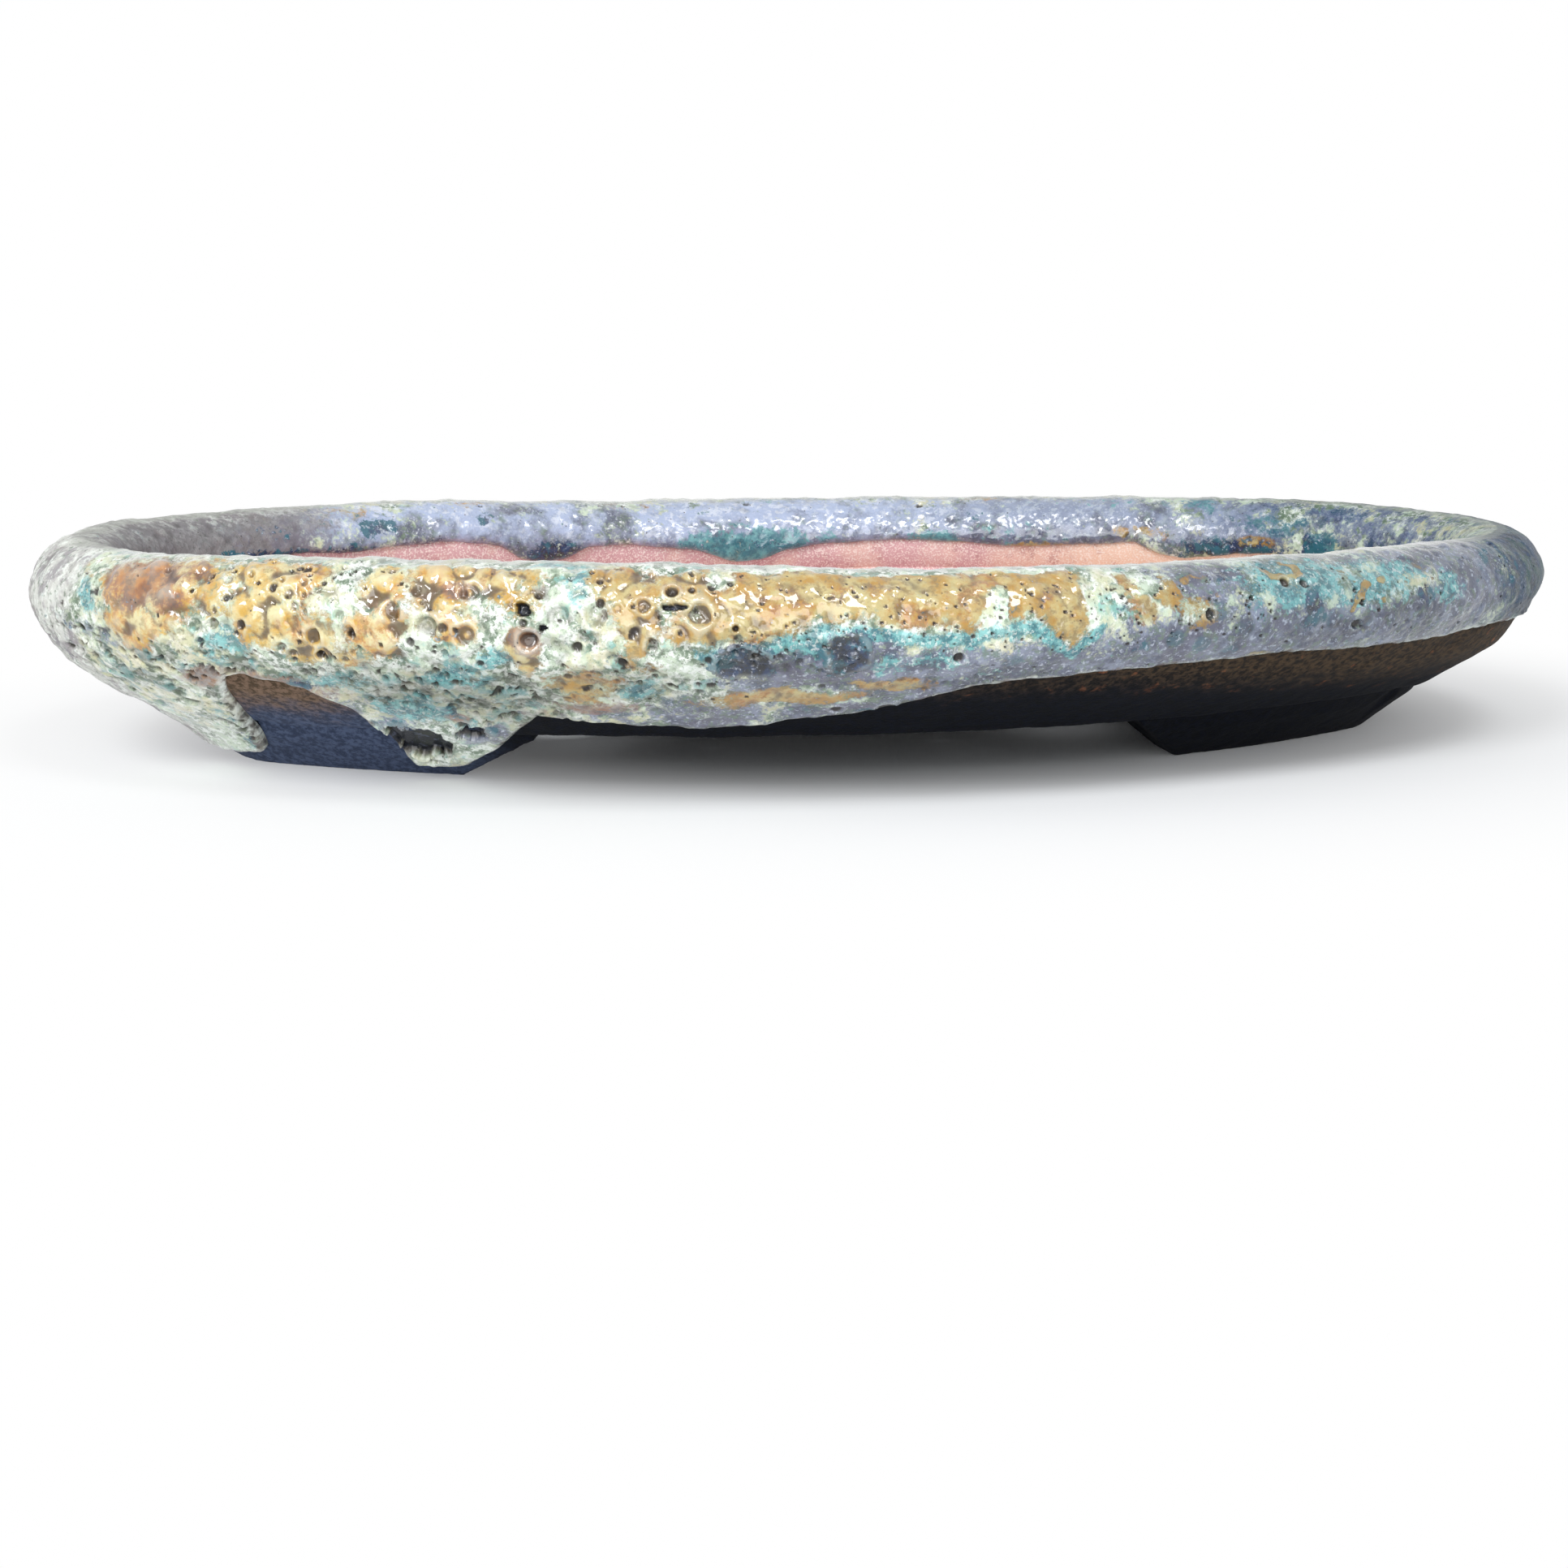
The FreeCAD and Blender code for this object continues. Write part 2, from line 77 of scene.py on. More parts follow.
# Points on the crown oval and the ways outwards, by distance travelled from the left end.
def crownAt(travel):
    travel = np.mod(travel, girth)
    x, y, nx, ny = (np.zeros_like(travel) for unused in range(4))
    start = 0.0
    for centre, radius, first, sweep in arcs:
        here = (travel >= start) & (travel <= start + radius * sweep)
        turn = first + (travel[here] - start) / radius
        nx[here], ny[here] = np.cos(turn), np.sin(turn)
        x[here] = centre[0] + radius * nx[here]
        y[here] = centre[1] + radius * ny[here]
        start += radius * sweep
    return x, y, nx, ny


# Smooth noise between -1 and 1 with lumps about as wide as size.
def softNoise(x, y, z, size, seed):
    px, py, pz = x / size + seed * 7.13, y / size - seed * 3.71, z / size + seed * 5.37
    ix, iy, iz = (np.floor(p).astype(np.int64) for p in (px, py, pz))
    fx, fy, fz = px - ix, py - iy, pz - iz
    ux, uy, uz = (f * f * f * (f * (f * 6 - 15) + 10) for f in (fx, fy, fz))
    total = 0
    for cx in (0, 1):
        for cy in (0, 1):
            for cz in (0, 1):
                spin = ((ix + cx) * 73856093) ^ ((iy + cy) * 19349663) ^ ((iz + cz) * 83492791)
                spin = (spin ^ (seed * 2654435761)) & 0xFFFFFFFF
                spin = ((spin ^ (spin >> 15)) * 2246822519) & 0xFFFFFFFF
                spin = ((spin ^ (spin >> 13)) * 3266489917) & 0xFFFFFFFF
                spin = spin ^ (spin >> 16)
                gx = (spin & 1023) / 511.5 - 1
                gy = ((spin >> 10) & 1023) / 511.5 - 1
                gz = ((spin >> 20) & 1023) / 511.5 - 1
                weight = (ux if cx else 1 - ux) * (uy if cy else 1 - uy) * (uz if cz else 1 - uz)
                total = total + weight * (gx * (fx - cx) + gy * (fy - cy) + gz * (fz - cz))
    return total


def smooth(low, high, value):
    step = np.clip((value - low) / (high - low), 0, 1)
    return step * step * (3 - 2 * step)


# Outline as evenly spaced points with its corners eased, and its normals on the left hand.
def densePath(out, up, spacing=0.1, easing=60):
    out, up = np.array(out, float), np.array(up, float)
    far = np.concatenate([[0], np.cumsum(np.hypot(np.diff(out), np.diff(up)))])
    even = np.linspace(0, far[-1], int(far[-1] / spacing))
    out, up = np.interp(even, far, out), np.interp(even, far, up)
    for unused in range(easing):
        out[1:-1] = (out[:-2] + 2 * out[1:-1] + out[2:]) / 4
        up[1:-1] = (up[:-2] + 2 * up[1:-1] + up[2:]) / 4
    dOut, dUp = np.gradient(out), np.gradient(up)
    size = np.hypot(dOut, dUp)
    return even, out, up, -dUp / size, dOut / size


# Skin of the glaze in cross-section: how far outside the oval it lies, against height. It starts
# inside the tray, goes over the crown of the roll and down the wall and a foot.
roll = {"outward": -crownInset, "height": 40.2, "radius": 12.1, "inside": 216, "outside": -48}
turns = np.radians(np.arange(roll["inside"], roll["outside"] - 1, -3))
skinOut = list(roll["outward"] + roll["radius"] * np.cos(turns))
skinUp = list(roll["height"] + roll["radius"] * np.sin(turns))
skinOut += [4.6, 1.2, -2.4, -8.5, -14.4, -20.2, -26.2, -32.2, -34]
skinUp += [28.0, 25.0, 22.3, 17.7, 13.9, 10.2, 5.2, 0.0, -1.5]
even, skinOut, skinUp, skinNormalOut, skinNormalUp = densePath(skinOut, skinUp)
skinWay = even - even[np.argmax(skinUp)]         # 0 at the crown, below 0 inside the tray

# Lower edges of the glaze: distance round the rim from the left end, and height.
outerEdge = {
    "travel": [0, 9, 14, 18, 26, 45, 58, 61, 63, 65, 67.5, 70, 76.5, 83.5, 91, 96, 98.5, 100, 102, 104,
               112, 116,
               120, 125, 130, 135, 139, 148, 160, 175, 187, 198, 210, 218, 232, 255, 275, 309,
               334, 360, 381, 410, 437, 470, 520, 580, 640, 700, 760, 800, 835, 855, 866],
    "height": [15, 14.5, 12, 6, 3, 2.6, 3, 3.5, 6, 14, 21, 25.5, 27, 26, 23.2, 19.5, 14, 8, 3, 2.6,
               2.2, 3,
               5.5, 8, 12, 15.8, 19.5, 18, 16.5, 15.6, 17, 18.6, 19.8, 22, 26, 27.8, 29.3, 30.2,
               29.3, 30, 31, 30.5, 30, 29, 27, 25, 23.5, 24, 25, 23, 20, 17, 15.5],
    "ripple": 0.7, "seed": 11,
}
innerEdge = {
    "travel": [0, 60, 110, 160, 218, 280, 340, 400, 437, 480, 500, 507, 520, 534, 541, 548, 560,
               585, 600, 612, 626, 642, 652, 660, 668, 680, 700, 712, 718, 725, 732, 738, 750,
               770, 782, 795, 808, 818, 828, 845],
    "height": [34, 34, 38, 40, 39, 40, 38, 34, 34, 34, 34.5, 38, 36.5, 35, 36, 39.5, 38.7,
               38.2, 40, 40.8, 40.5, 39.6, 37.8, 34.6, 34, 38.6, 40.6, 40, 36.5, 34.8, 36, 40.4, 41.6,
               41.4, 40.2, 41.2, 40.6, 39, 36, 34],
    "ripple": 0.5, "seed": 13,
}


def edgeHeight(travel, edge):
    stops = np.array(edge["travel"] + [edge["travel"][0] + girth])
    levels = np.array(edge["height"] + [edge["height"][0]])
    ring = np.linspace(0, girth, 2400, endpoint=False)
    base = np.interp(ring, stops, levels)
    for unused in range(12):
        base = (np.roll(base, 1) + 2 * base + np.roll(base, -1)) / 4
    steady = np.interp(np.mod(travel, girth), np.append(ring, girth), np.append(base, base[0]))
    x, y, nx, ny = crownAt(travel)
    ripple = softNoise(x, y, 0 * x, 8.0, edge["seed"]) + 0.6 * softNoise(x, y, 0 * x, 3.0, 5)
    return steady + edge["ripple"] * ripple


# One grid over the whole skin of the glaze. Rows run from the inner edge over the crown to the
# outer edge, and columns go round the tray, closer together on the side that faces front.
grid = {"frontColumns": 1266, "backColumns": 560, "outerRows": 150, "innerRows": 56, "past": 35.0}
evenly = np.linspace(-grid["past"], girth / 2 + grid["past"], 4000)
crowd = (1 + 2.5 * smooth(58, 61, evenly) * smooth(71, 68, evenly)
         + 2 * smooth(94, 97, evenly) * smooth(106, 103, evenly))
crowd = np.cumsum(crowd) - crowd[0]
frontTravel = np.interp(np.linspace(0, crowd[-1], grid["frontColumns"] + 1), crowd, evenly)
backTravel = np.linspace(girth / 2 + grid["past"], girth - grid["past"], grid["backColumns"] + 1)
travels = np.concatenate([frontTravel, backTravel[1:]])
fallOutside = np.interp(-edgeHeight(travels, outerEdge), -skinUp[skinWay >= 0],
                        skinWay[skinWay >= 0])
fallInside = -np.interp(edgeHeight(travels, innerEdge), skinUp[skinWay <= 0],
                        skinWay[skinWay <= 0])
rows = np.arange(-grid["innerRows"], grid["outerRows"] + 1)
share = np.where(rows < 0, rows / grid["innerRows"], rows / grid["outerRows"])
reach = np.where(rows[None, :] < 0, fallInside[:, None], fallOutside[:, None])
along = np.repeat(travels[:, None], len(rows), axis=1)
down = reach * share[None, :]                    # below 0 inside the tray
toEdge = reach - np.abs(down)
for shift in range(-24, 25):           # and sideways, where the edge is steep
    beside, across = np.roll(reach, shift, 0), np.roll(along, shift, 0) - along
    toEdge = np.minimum(toEdge, np.hypot(across, np.maximum(beside - np.abs(down), 0)))
crownX, crownY, crownNx, crownNy = (part[:, None] for part in crownAt(travels))


def onSkin(q):
    return (np.interp(q, skinWay, part) for part in (skinOut, skinUp, skinNormalOut, skinNormalUp))


out, up, nOut, nUp = onSkin(down)
skinX, skinY, skinZ = crownX + crownNx * out, crownY + crownNy * out, up
normalX, normalY, normalZ = crownNx * nOut, crownNy * nOut, nUp
print("skin grid", along.shape)

# Wandering positions, so that pools and pits get uneven outlines.
wideAlong = along + 3.0 * softNoise(skinX, skinY, skinZ, 9.0, 31)
wideDown = down + 2.4 * softNoise(skinX, skinY, skinZ, 8.0, 32)
fineAlong = along + 0.9 * softNoise(skinX, skinY, skinZ, 2.6, 33)
fineDown = down + 0.9 * softNoise(skinX, skinY, skinZ, 2.6, 34)


# Columns of the grid near a place, so that a small mark costs little.
def near(travel, span):
    first = np.searchsorted(travels, travel - span)
    last = np.searchsorted(travels, travel + span)
    return slice(max(first, 0), min(last, len(travels)))


def pool(marks):
    mask = np.zeros_like(along)
    for travel, fall, halfLength, halfHeight, strength in marks:
        part = near(travel, halfLength * 1.8 + 4)
        far = np.hypot((wideAlong[part] - travel) / halfLength, (wideDown[part] - fall) / halfHeight)
        shape = strength * smooth(1.65, 0.35, far)
        mask[part] = np.maximum(mask[part], shape)
    return mask


# Pools of colour: distance round the rim, way down from the crown, half length, half height and
# strength. Ways above the crown's line are inside the tray.
ochrePools = [
    (41, 8, 5, 4, 0.6), (58, 12, 14, 9, 1), (56, 21, 10, 5, 1), (73, 11, 10, 10, 0.62),
    (88, 9, 12, 6, 1), (85, 18, 8, 6, 1), (95, 23, 7, 6, 0.9), (104, 25, 9, 5, 0.62),
    (110, 10, 6, 7, 1), (111, 20, 7, 6, 1), (121, 9, 5, 7, 0.95), (126, 18, 6, 5, 0.8),
    (131, 8, 10, 6, 0.95), (139, 11, 7, 8, 0.65), (139, 24, 3.6, 5, 1.1), (158, 9, 7, 6, 0.95),
    (161, 15, 6, 9, 1), (150, 34, 8, 8, 0.72), (163, 27, 5, 4, 0.5), (171, 10, 9, 7, 0.9),
    (172, 17, 6, 5, 0.75), (192, 37, 12, 3.2, 1), (180, 39, 8, 3, 0.62), (214, 33, 9, 2.4, 0.85),
    (203, 37, 8, 2, 0.7), (262, 9, 5, 4, 0.85), (266, 15, 3.5, 4, 0.75), (273, 12, 4, 4, 0.8),
    (279, 16, 3.4, 4, 0.6), (297, 29, 3, 1.5, 0.7),
    (548, -16.5, 8, 2.4, 0.6), (512, -18.5, 6, 2.4, 1.1), (594, -4, 6, 1.6, 0.6), (745, -5, 5, 2, 0.5),
    (600, -21.5, 9, 2.5, 0.8), (572, -21.5, 14, 2.5, 0.7), (780, -6, 8, 3, 0.4), (700, -5, 10, 3, 0.35),
]
paleGaps = [
    (234, 14, 2.6, 5, 1), (149, 9, 3, 8, 0.9), (178, 7, 3.5, 3.4, 0.8), (103, 11, 5, 7, 0.6),
    (257, 11, 4, 9, 1), (117, 22, 2.5, 4, 0.7), (66, 25, 9, 4, 0.7), (268, 8, 2.5, 3, 0.8),
    (135, 19, 3, 4, 0.5), (128, 27, 9, 4, 0.7), (47, 5, 7, 4, 0.8), (154, 22, 5, 4, 0.9),
]
tealPools = [
    (77, 23, 6, 3.4, 0.75), (134, 25, 5, 3, 0.7), (111, 46, 8, 5, 1), (115, 41, 5, 4, 0.6),
    (145, 3.5, 7, 2.2, 0.9), (150, 9, 3, 5, 0.75), (177, 19, 6, 3, 0.8), (41, 15, 2.2, 5, 0.8),
    (46, 19, 4, 4, 0.4), (34, 22, 2.4, 3, 0.7), (84, 36, 9, 2, 0.9), (72, 29, 8, 3, 0.45),
    (161, 36, 5, 3, 0.8), (306, 11, 16, 7, 0.9), (330, 12, 14, 6, 0.75), (351, 15, 5, 4, 0.75),
    (296, 6, 8, 4, 0.6), (384, 21, 5, 6, 0.5), (120, 50, 5, 4, 0.6), (97, 35, 9, 3, 0.6),
    (210, 27, 8, 3, 0.5), (222, 26, 6, 3, 0.4), (232, 31, 8, 2.4, 0.5), (62, 58, 8, 8, 0.4),
    (126, 31, 8, 3, 0.6), (199, 20, 5, 4, 0.9), (256, 25, 5, 3, 0.3),
    (664, -20.5, 20, 6, 1), (608, -19.5, 10, 4, 0.9), (640, -18.5, 10, 3, 0.5), (530, -6, 9, 4, 0.5),
    (505, -12, 12, 5, 0.6), (488, -18.5, 8, 4, 0.8), (655, -3, 6, 2.4, 0.4), (585, -17.5, 12, 4, 0.4),
    (560, -5, 16, 4, 0.35), (480, -6, 10, 5, 0.3),
]
violetPools = [
    (176, 45, 16, 8, 0.8), (190, 30, 12, 8, 0.9), (205, 28, 14, 9, 0.9), (225, 33, 24, 11, 0.9),
    (250, 31, 22, 9, 1), (272, 26, 18, 9, 1), (286, 9, 12, 7, 0.8), (156, 47, 12, 5, 0.6),
    (300, 25, 30, 11, 1), (340, 24, 36, 9, 0.9), (126, 58, 8, 5, 0.8), (106, 54, 7, 8, 0.5),
    (74, 44, 14, 6, 0.4), (210, 46, 24, 7, 0.9), (44, 24, 9, 4, 0.4), (99, 45, 7, 5, 0.5),
    (282, 5, 16, 5, 0.6), (312, 4, 26, 4, 0.55), (345, 6, 16, 6, 0.9), (362, 12, 18, 16, 1),
    (655, -13, 56, 12, 1), (575, -13, 45, 12, 1), (520, -13, 24, 12, 0.8), (735, -13, 42, 12, 0.9),
    (785, -13, 30, 12, 0.7), (470, -13, 40, 12, 0.6),
]
rustPools = [
    (57, 11, 12, 8, 1), (66, 9, 6, 5, 0.7), (120, 49, 4, 2.5, 0.9), (126, 11, 3.4, 2.6, 0.8),
    (152, 42, 12, 3, 0.9), (205, 11, 10, 4, 0.5), (190, 12, 6, 4, 0.45), (168, 10, 5, 4, 0.5),
    (248, 12, 7, 6, 0.45), (228, 13, 6, 5, 0.35), (134, 8, 5, 5, 0.4), (68, 36, 9, 4.5, 1), (80, 36, 12, 3.4, 1), (92, 39, 8, 3, 0.8),
    (140, 45, 8, 2, 0.6), (163, 13, 5, 5, 0.35), (140.5, 21.5, 3, 3, 1.2),
]
navyPools = [
    (286, 8, 2.4, 2.2, 0.8), (308, 18, 3, 5, 0.9), (342, 17, 2.2, 3, 0.9), (182, 26, 5.6, 4.0, 2.0),
    (203, 25, 4.6, 5.2, 2.0), (107, 60, 7, 7, 1), (124, 56, 4, 3.4, 1), (86, 37, 8, 1.6, 0.9),
    (210, 44, 3.4, 1.4, 0.8), (220, 43, 3, 1.2, 0.6), (120, 46, 9, 3, 0.35), (300, 19, 9, 4, 0.35),
    (36, 22, 2, 2, 0.7), (264, 24, 3, 2.4, 0.6), (60, 62, 5, 8, 0.55), (372, 12, 14, 6, 0.5),
    (290, 15, 5, 3, 0.35), (318, 21, 3, 2, 0.5),
    (722, -21.5, 9, 4, 1), (519, -21.5, 14, 4, 1), (782, -19.5, 14, 2.6, 0.9), (806, -18.5, 12, 2.4, 0.9), (820, -19, 6, 4, 0.8), (760, -18.5, 10, 1.6, 0.7),
    (495, -19.5, 9, 4, 0.7), (742, -11, 3, 2, 0.7), (775, -13, 6, 3, 0.7), (600, -11, 5, 3, 0.5),
    (650, -19.5, 40, 1.6, 0.5), (805, -11, 6, 3, 0.5), (690, -21.5, 12, 2, 0.6),
]
porousPools = [
    (122, 38, 22, 9, 1), (60, 31, 22, 5, 0.9), (34, 30, 18, 9, 0.8), (64, 58, 9, 12, 0.9),
    (50, 40, 20, 12, 0.5), (134, 47, 12, 6, 0.8), (95, 34, 16, 4, 0.5), (160, 33, 14, 6, 0.45),
    (190, 24, 14, 5, 0.5), (235, 33, 20, 3, 0.4), (330, 22, 20, 5, 0.3),
]

# Lower border of the long ochre band on the front of the roll.
band = {"travel": [168, 174, 184, 190, 197, 204, 212, 222, 229, 236, 241, 246, 250.5, 255, 262],
        "fall": [15, 21, 21.5, 19, 17, 17, 17.6, 18, 18.6, 17, 16, 19, 22, 19, 12]}
border = np.interp(wideAlong, band["travel"], band["fall"])
inBand = smooth(168, 176, along) * smooth(262, 254, along)
seen = smooth(0, 1, down)                        # 1 outside the tray

ochre = pool(ochrePools)
ochre = np.maximum(ochre, inBand * smooth(3.5, -3.5, wideDown - border) * seen)
ochre = ochre * (1 - pool(paleGaps)) * (1 - 0.85 * seen * smooth(6.5, 3.5, wideDown)
                                        * smooth(80, 100, along) * smooth(300, 285, along))
teal = pool(tealPools)
under = np.exp(-((wideDown - border - 2.4) / 1.9) ** 2)
teal = np.maximum(teal, 0.95 * inBand * under * seen)
violet = pool(violetPools) * (1 - smooth(0.5, -1, wideDown - border) * inBand * seen)
rust, navy, porous = pool(rustPools), pool(navyPools), pool(porousPools)

speckled = pool([(302, 9, 9, 4, 1), (323, 14, 9, 5, 1), (341, 12, 5, 3.4, 0.9), (270, 12, 14, 7, 0.7)])
ochre = np.maximum(ochre, 1.15 * speckled * smooth(0.1, 0.34, softNoise(skinX, skinY, skinZ, 3.4, 43)))

# Ends and back, which are greyer and more even.
leftEnd = np.where(along > girth / 2, along - girth, along)
grey = np.maximum(smooth(44, 30, wideAlong) * smooth(-70, -30, leftEnd + 0 * wideAlong),
                  smooth(-120, -60, leftEnd) * (leftEnd < 0))
rightEnd = smooth(352, 396, wideAlong) * smooth(560, 500, along)
back = smooth(480, 540, along) * smooth(girth - 42, girth - 100, along) * seen
patch = softNoise(skinX, skinY, skinZ, 30.0, 41) + 0.5 * softNoise(skinX, skinY, skinZ, 12.0, 42)
ochre = np.maximum(ochre, back * smooth(0.05, 0.3, patch) * smooth(3, 7, down) * smooth(26, 20, down))
teal = np.maximum(teal, back * 0.9 * smooth(0.12, 0.0, np.abs(patch - 0.02)) * smooth(3, 8, down))
violet = np.maximum(violet, back * smooth(0.0, -0.2, patch + 0.02 * (20 - down)))
porous = np.maximum(porous, back * smooth(24, 34, down) * 0.7)
print("pools painted")

# Relief of the glaze. Broad lumps first.
bubbly = smooth(46, 60, along) * smooth(186, 170, along) * smooth(3, 6, down) * smooth(32, 24, down)
calm = 1 - 0.45 * smooth(200, 260, along) * (1 - back)
lift = calm * (0.9 * softNoise(skinX, skinY, skinZ, 17.0, 21)
               + 0.6 * softNoise(skinX, skinY, skinZ, 8.0, 22)
               + (0.45 + 0.3 * bubbly) * softNoise(skinX, skinY, skinZ, 3.8, 23)
               + 0.2 * softNoise(skinX, skinY, skinZ, 1.9, 24))
lift += (down < 0) * (0.35 * softNoise(skinX, skinY, skinZ, 2.6, 25)
                      + 0.22 * softNoise(skinX, skinY, skinZ, 1.3, 26)) * smooth(0, -3, down)
bubbles = np.zeros_like(along)
pit, ring = np.zeros_like(along), np.zeros_like(along)


# Domed bubbles that never burst.
def dome(travel, fall, radius, height):
    part = near(travel, radius * 1.6 + 1)
    far = np.hypot(fineAlong[part] - travel, fineDown[part] - fall) / radius
    bubbles[part] = np.maximum(bubbles[part], height * np.clip(1 - far ** 2, 0, 1))


# Burst bubbles: a bowl with a raised lip, and for some a skin that sank back as a smaller dome.
def crater(travel, fall, radius, depth, skin=0.0, lip=0.3):
    part = near(travel, radius * 2.4 + 2)
    warp = 0.35 * min(radius / 2, 1)
    far = np.hypot(along[part] + warp * (fineAlong[part] - along[part]) - travel,
                   down[part] + warp * (fineDown[part] - down[part]) - fall) / radius
    bowl = np.clip(1 - far ** 2, 0, 1) ** 0.6
    wall = np.exp(-((far - 1.18) / 0.3) ** 2)
    lift[part] += depth * (lip * wall - bowl) + depth * skin * np.exp(-(far / 0.5) ** 2)
    pit[part] = np.maximum(pit[part], smooth(1.0, 0.6, far) * (1 - 1.6 * skin))
    ring[part] = np.maximum(ring[part], wall * min(radius, 1.5) / 1.5)


# Ragged holes: a noisy edge and straight walls.
def tear(travel, fall, halfLength, halfHeight, depth):
    part = near(travel, halfLength * 1.6 + 2)
    ragged = 0.5 * softNoise(skinX[part], skinY[part], skinZ[part], 2.4, 61)
    ragged += 0.3 * softNoise(skinX[part], skinY[part], skinZ[part], 1.1, 62)
    far = np.hypot((along[part] - travel) / halfLength, (down[part] - fall) / halfHeight) + ragged
    hole = smooth(1.0, 0.82, far)
    lift[part] += 0.4 * np.exp(-((far - 1.15) / 0.2) ** 2) - depth * hole
    pit[part] = np.maximum(pit[part], 1.2 * hole)


# Craters on the front: distance round the rim, way down, radius, depth, sunk skin.
craters = [
    (113.5, 16, 2.0, 0.9, 0.5), (120.5, 19, 2.3, 1.4, 0.4), (128, 20.5, 2.2, 1.1, 0.6),
    (146.5, 16.5, 2.8, 1.1, 0.6), (154, 16, 2.4, 1.1, 0.6), (163, 14, 1.5, 0.9, 0.6),
    (165, 21.5, 1.5, 1.0, 0.3), (174, 15.5, 2.4, 1.1, 0.5), (168.5, 11, 1.4, 1.2, 0),
    (140.5, 21, 1.9, 1.5, 0.2), (128.5, 11.5, 2.0, 0.8, 0.7), (169, 33.5, 1.0, 0.9, 0.2),
    (174, 35, 1.5, 1.0, 0.5), (199, 33.5, 1.0, 0.8, 0.3), (180, 8, 0.9, 0.9, 0), (181, 18, 0.8, 1.0, 0),
    (70, 20.5, 1.6, 0.8, 0.5), (74, 20, 1.3, 1.0, 0.4), (70, 24, 1.1, 0.8, 0.5), (91, 13.5, 1.2, 0.7, 0.6),
    (96.5, 22, 1.8, 1.0, 0.6), (98.5, 26, 1.9, 1.0, 0.5), (91, 26, 1.0, 0.8, 0.5), (102.5, 17.5, 1.2, 0.8, 0.6),
    (44, 14.5, 1.1, 1.0, 0), (39, 23, 1.2, 1.1, 0), (33.5, 18, 0.7, 0.8, 0), (23, 15, 0.7, 0.8, 0),
    (72, 9.5, 0.8, 1.0, 0), (77, 8.5, 0.7, 1.0, 0), (100, 9, 0.6, 0.9, 0), (105, 21, 0.9, 0.9, 0),
    (302, 11, 1.3, 1.2, 0), (307, 11.5, 1.3, 1.2, 0), (322, 17, 0.9, 1.0, 0), (320.5, 14, 0.8, 0.8, 0),
    (342, 14.5, 0.7, 0.9, 0), (321, 22, 1.3, 1.0, 0.2), (281, 17, 1.2, 1.2, 0.1), (292, 14, 0.7, 0.9, 0),
    (150, 22.5, 1.3, 1.0, 0), (185, 24, 0.9, 0.9, 0.2), (226, 25, 1.3, 1.0, 0), (240, 38, 1.1, 0.9, 0.1),
    (214, 43.5, 2.2, 0.8, 0), (203, 43, 1.6, 0.7, 0), (72, 37, 1.5, 1.1, 0), (74, 33, 1.4, 0.9, 0),
    (64, 36, 1.2, 0.9, 0), (57, 47, 2.0, 1.2, 0), (121, 52, 1.6, 1.2, 0), (127, 51, 1.4, 1.2, 0),
    (663, -5, 1.3, 0.8, 0.2), (700, -5, 0.9, 0.7, 0), (742, -6, 0.9, 0.7, 0), (612, -7, 1.2, 0.7, 0),
]
for travel, fall, radius, depth, skin in craters:
    crater(travel, fall, radius, depth, skin)
tear(139.5, 15, 1.5, 1.6, 1.5)
tear(143.5, 18.5, 1.0, 0.7, 1.2)
tear(107, 63, 9.6, 8.8, 2.4)
tear(103.5, 58, 3.0, 4.4, 1.8)
tear(122, 57, 4.2, 3.6, 1.9)
tear(169, 14, 2.6, 0.8, 0.9)
for travel, fall, halfLength, halfHeight in ((182, 26, 5.2, 3.6), (203, 24.5, 4.2, 4.6)):
    part = near(travel, 9)             # dark blisters: a low rim and a crusty inside
    far = np.hypot((wideAlong[part] - travel) / halfLength, (wideDown[part] - fall) / halfHeight)
    crust = softNoise(skinX[part], skinY[part], skinZ[part], 1.3, 63)
    lift[part] += 0.5 * np.exp(-((far - 1.1) / 0.2) ** 2) + smooth(1, 0.7, far) * (0.7 * crust - 0.5)

dice = np.random.default_rng(7)
for number in range(520):              # bubbles over the lively part of the front
    travel, fall = dice.uniform(48, 184), dice.uniform(4, 30)
    radius = dice.uniform(1.2, 3.6)
    dome(travel, fall, radius, radius * dice.uniform(0.2, 0.36))
for number in range(500):              # and finer ones along the rest of it
    travel, fall = dice.uniform(180, 400), dice.uniform(2, 34)
    radius = dice.uniform(0.9, 2.2)
    dome(travel, fall, radius, radius * dice.uniform(0.12, 0.22))
lift += bubbles * (0.35 + 0.65 * np.maximum(bubbly, smooth(180, 190, along)))
for number in range(150):              # small craters among them
    travel, fall = dice.uniform(60, 178), dice.uniform(5, 36)
    crater(travel, fall, dice.uniform(0.5, 1.3), dice.uniform(0.4, 0.8), dice.choice([0, 0.4, 0.6]))
for number in range(420):              # pinholes all round
    travel, fall = dice.uniform(-30, girth - 42), dice.uniform(3, 40)
    crater(travel, fall, dice.uniform(0.3, 0.6), dice.uniform(0.3, 0.6), 0, 0.15)
for number in range(160):
    travel, fall = dice.uniform(180, 300), dice.uniform(5, 24)
    crater(travel, fall, dice.uniform(0.25, 0.5), dice.uniform(0.3, 0.5), 0, 0.1)
pores = softNoise(skinX, skinY, skinZ, 2.3, 51) + 0.5 * softNoise(skinX, skinY, skinZ, 1.2, 52)
hollows = porous * smooth(0.08, 0.36, pores)
lift -= 1.1 * hollows
pit = np.maximum(pit, 0.85 * hollows)
lift += porous * 0.8 * softNoise(skinX, skinY, skinZ, 5.0, 53)

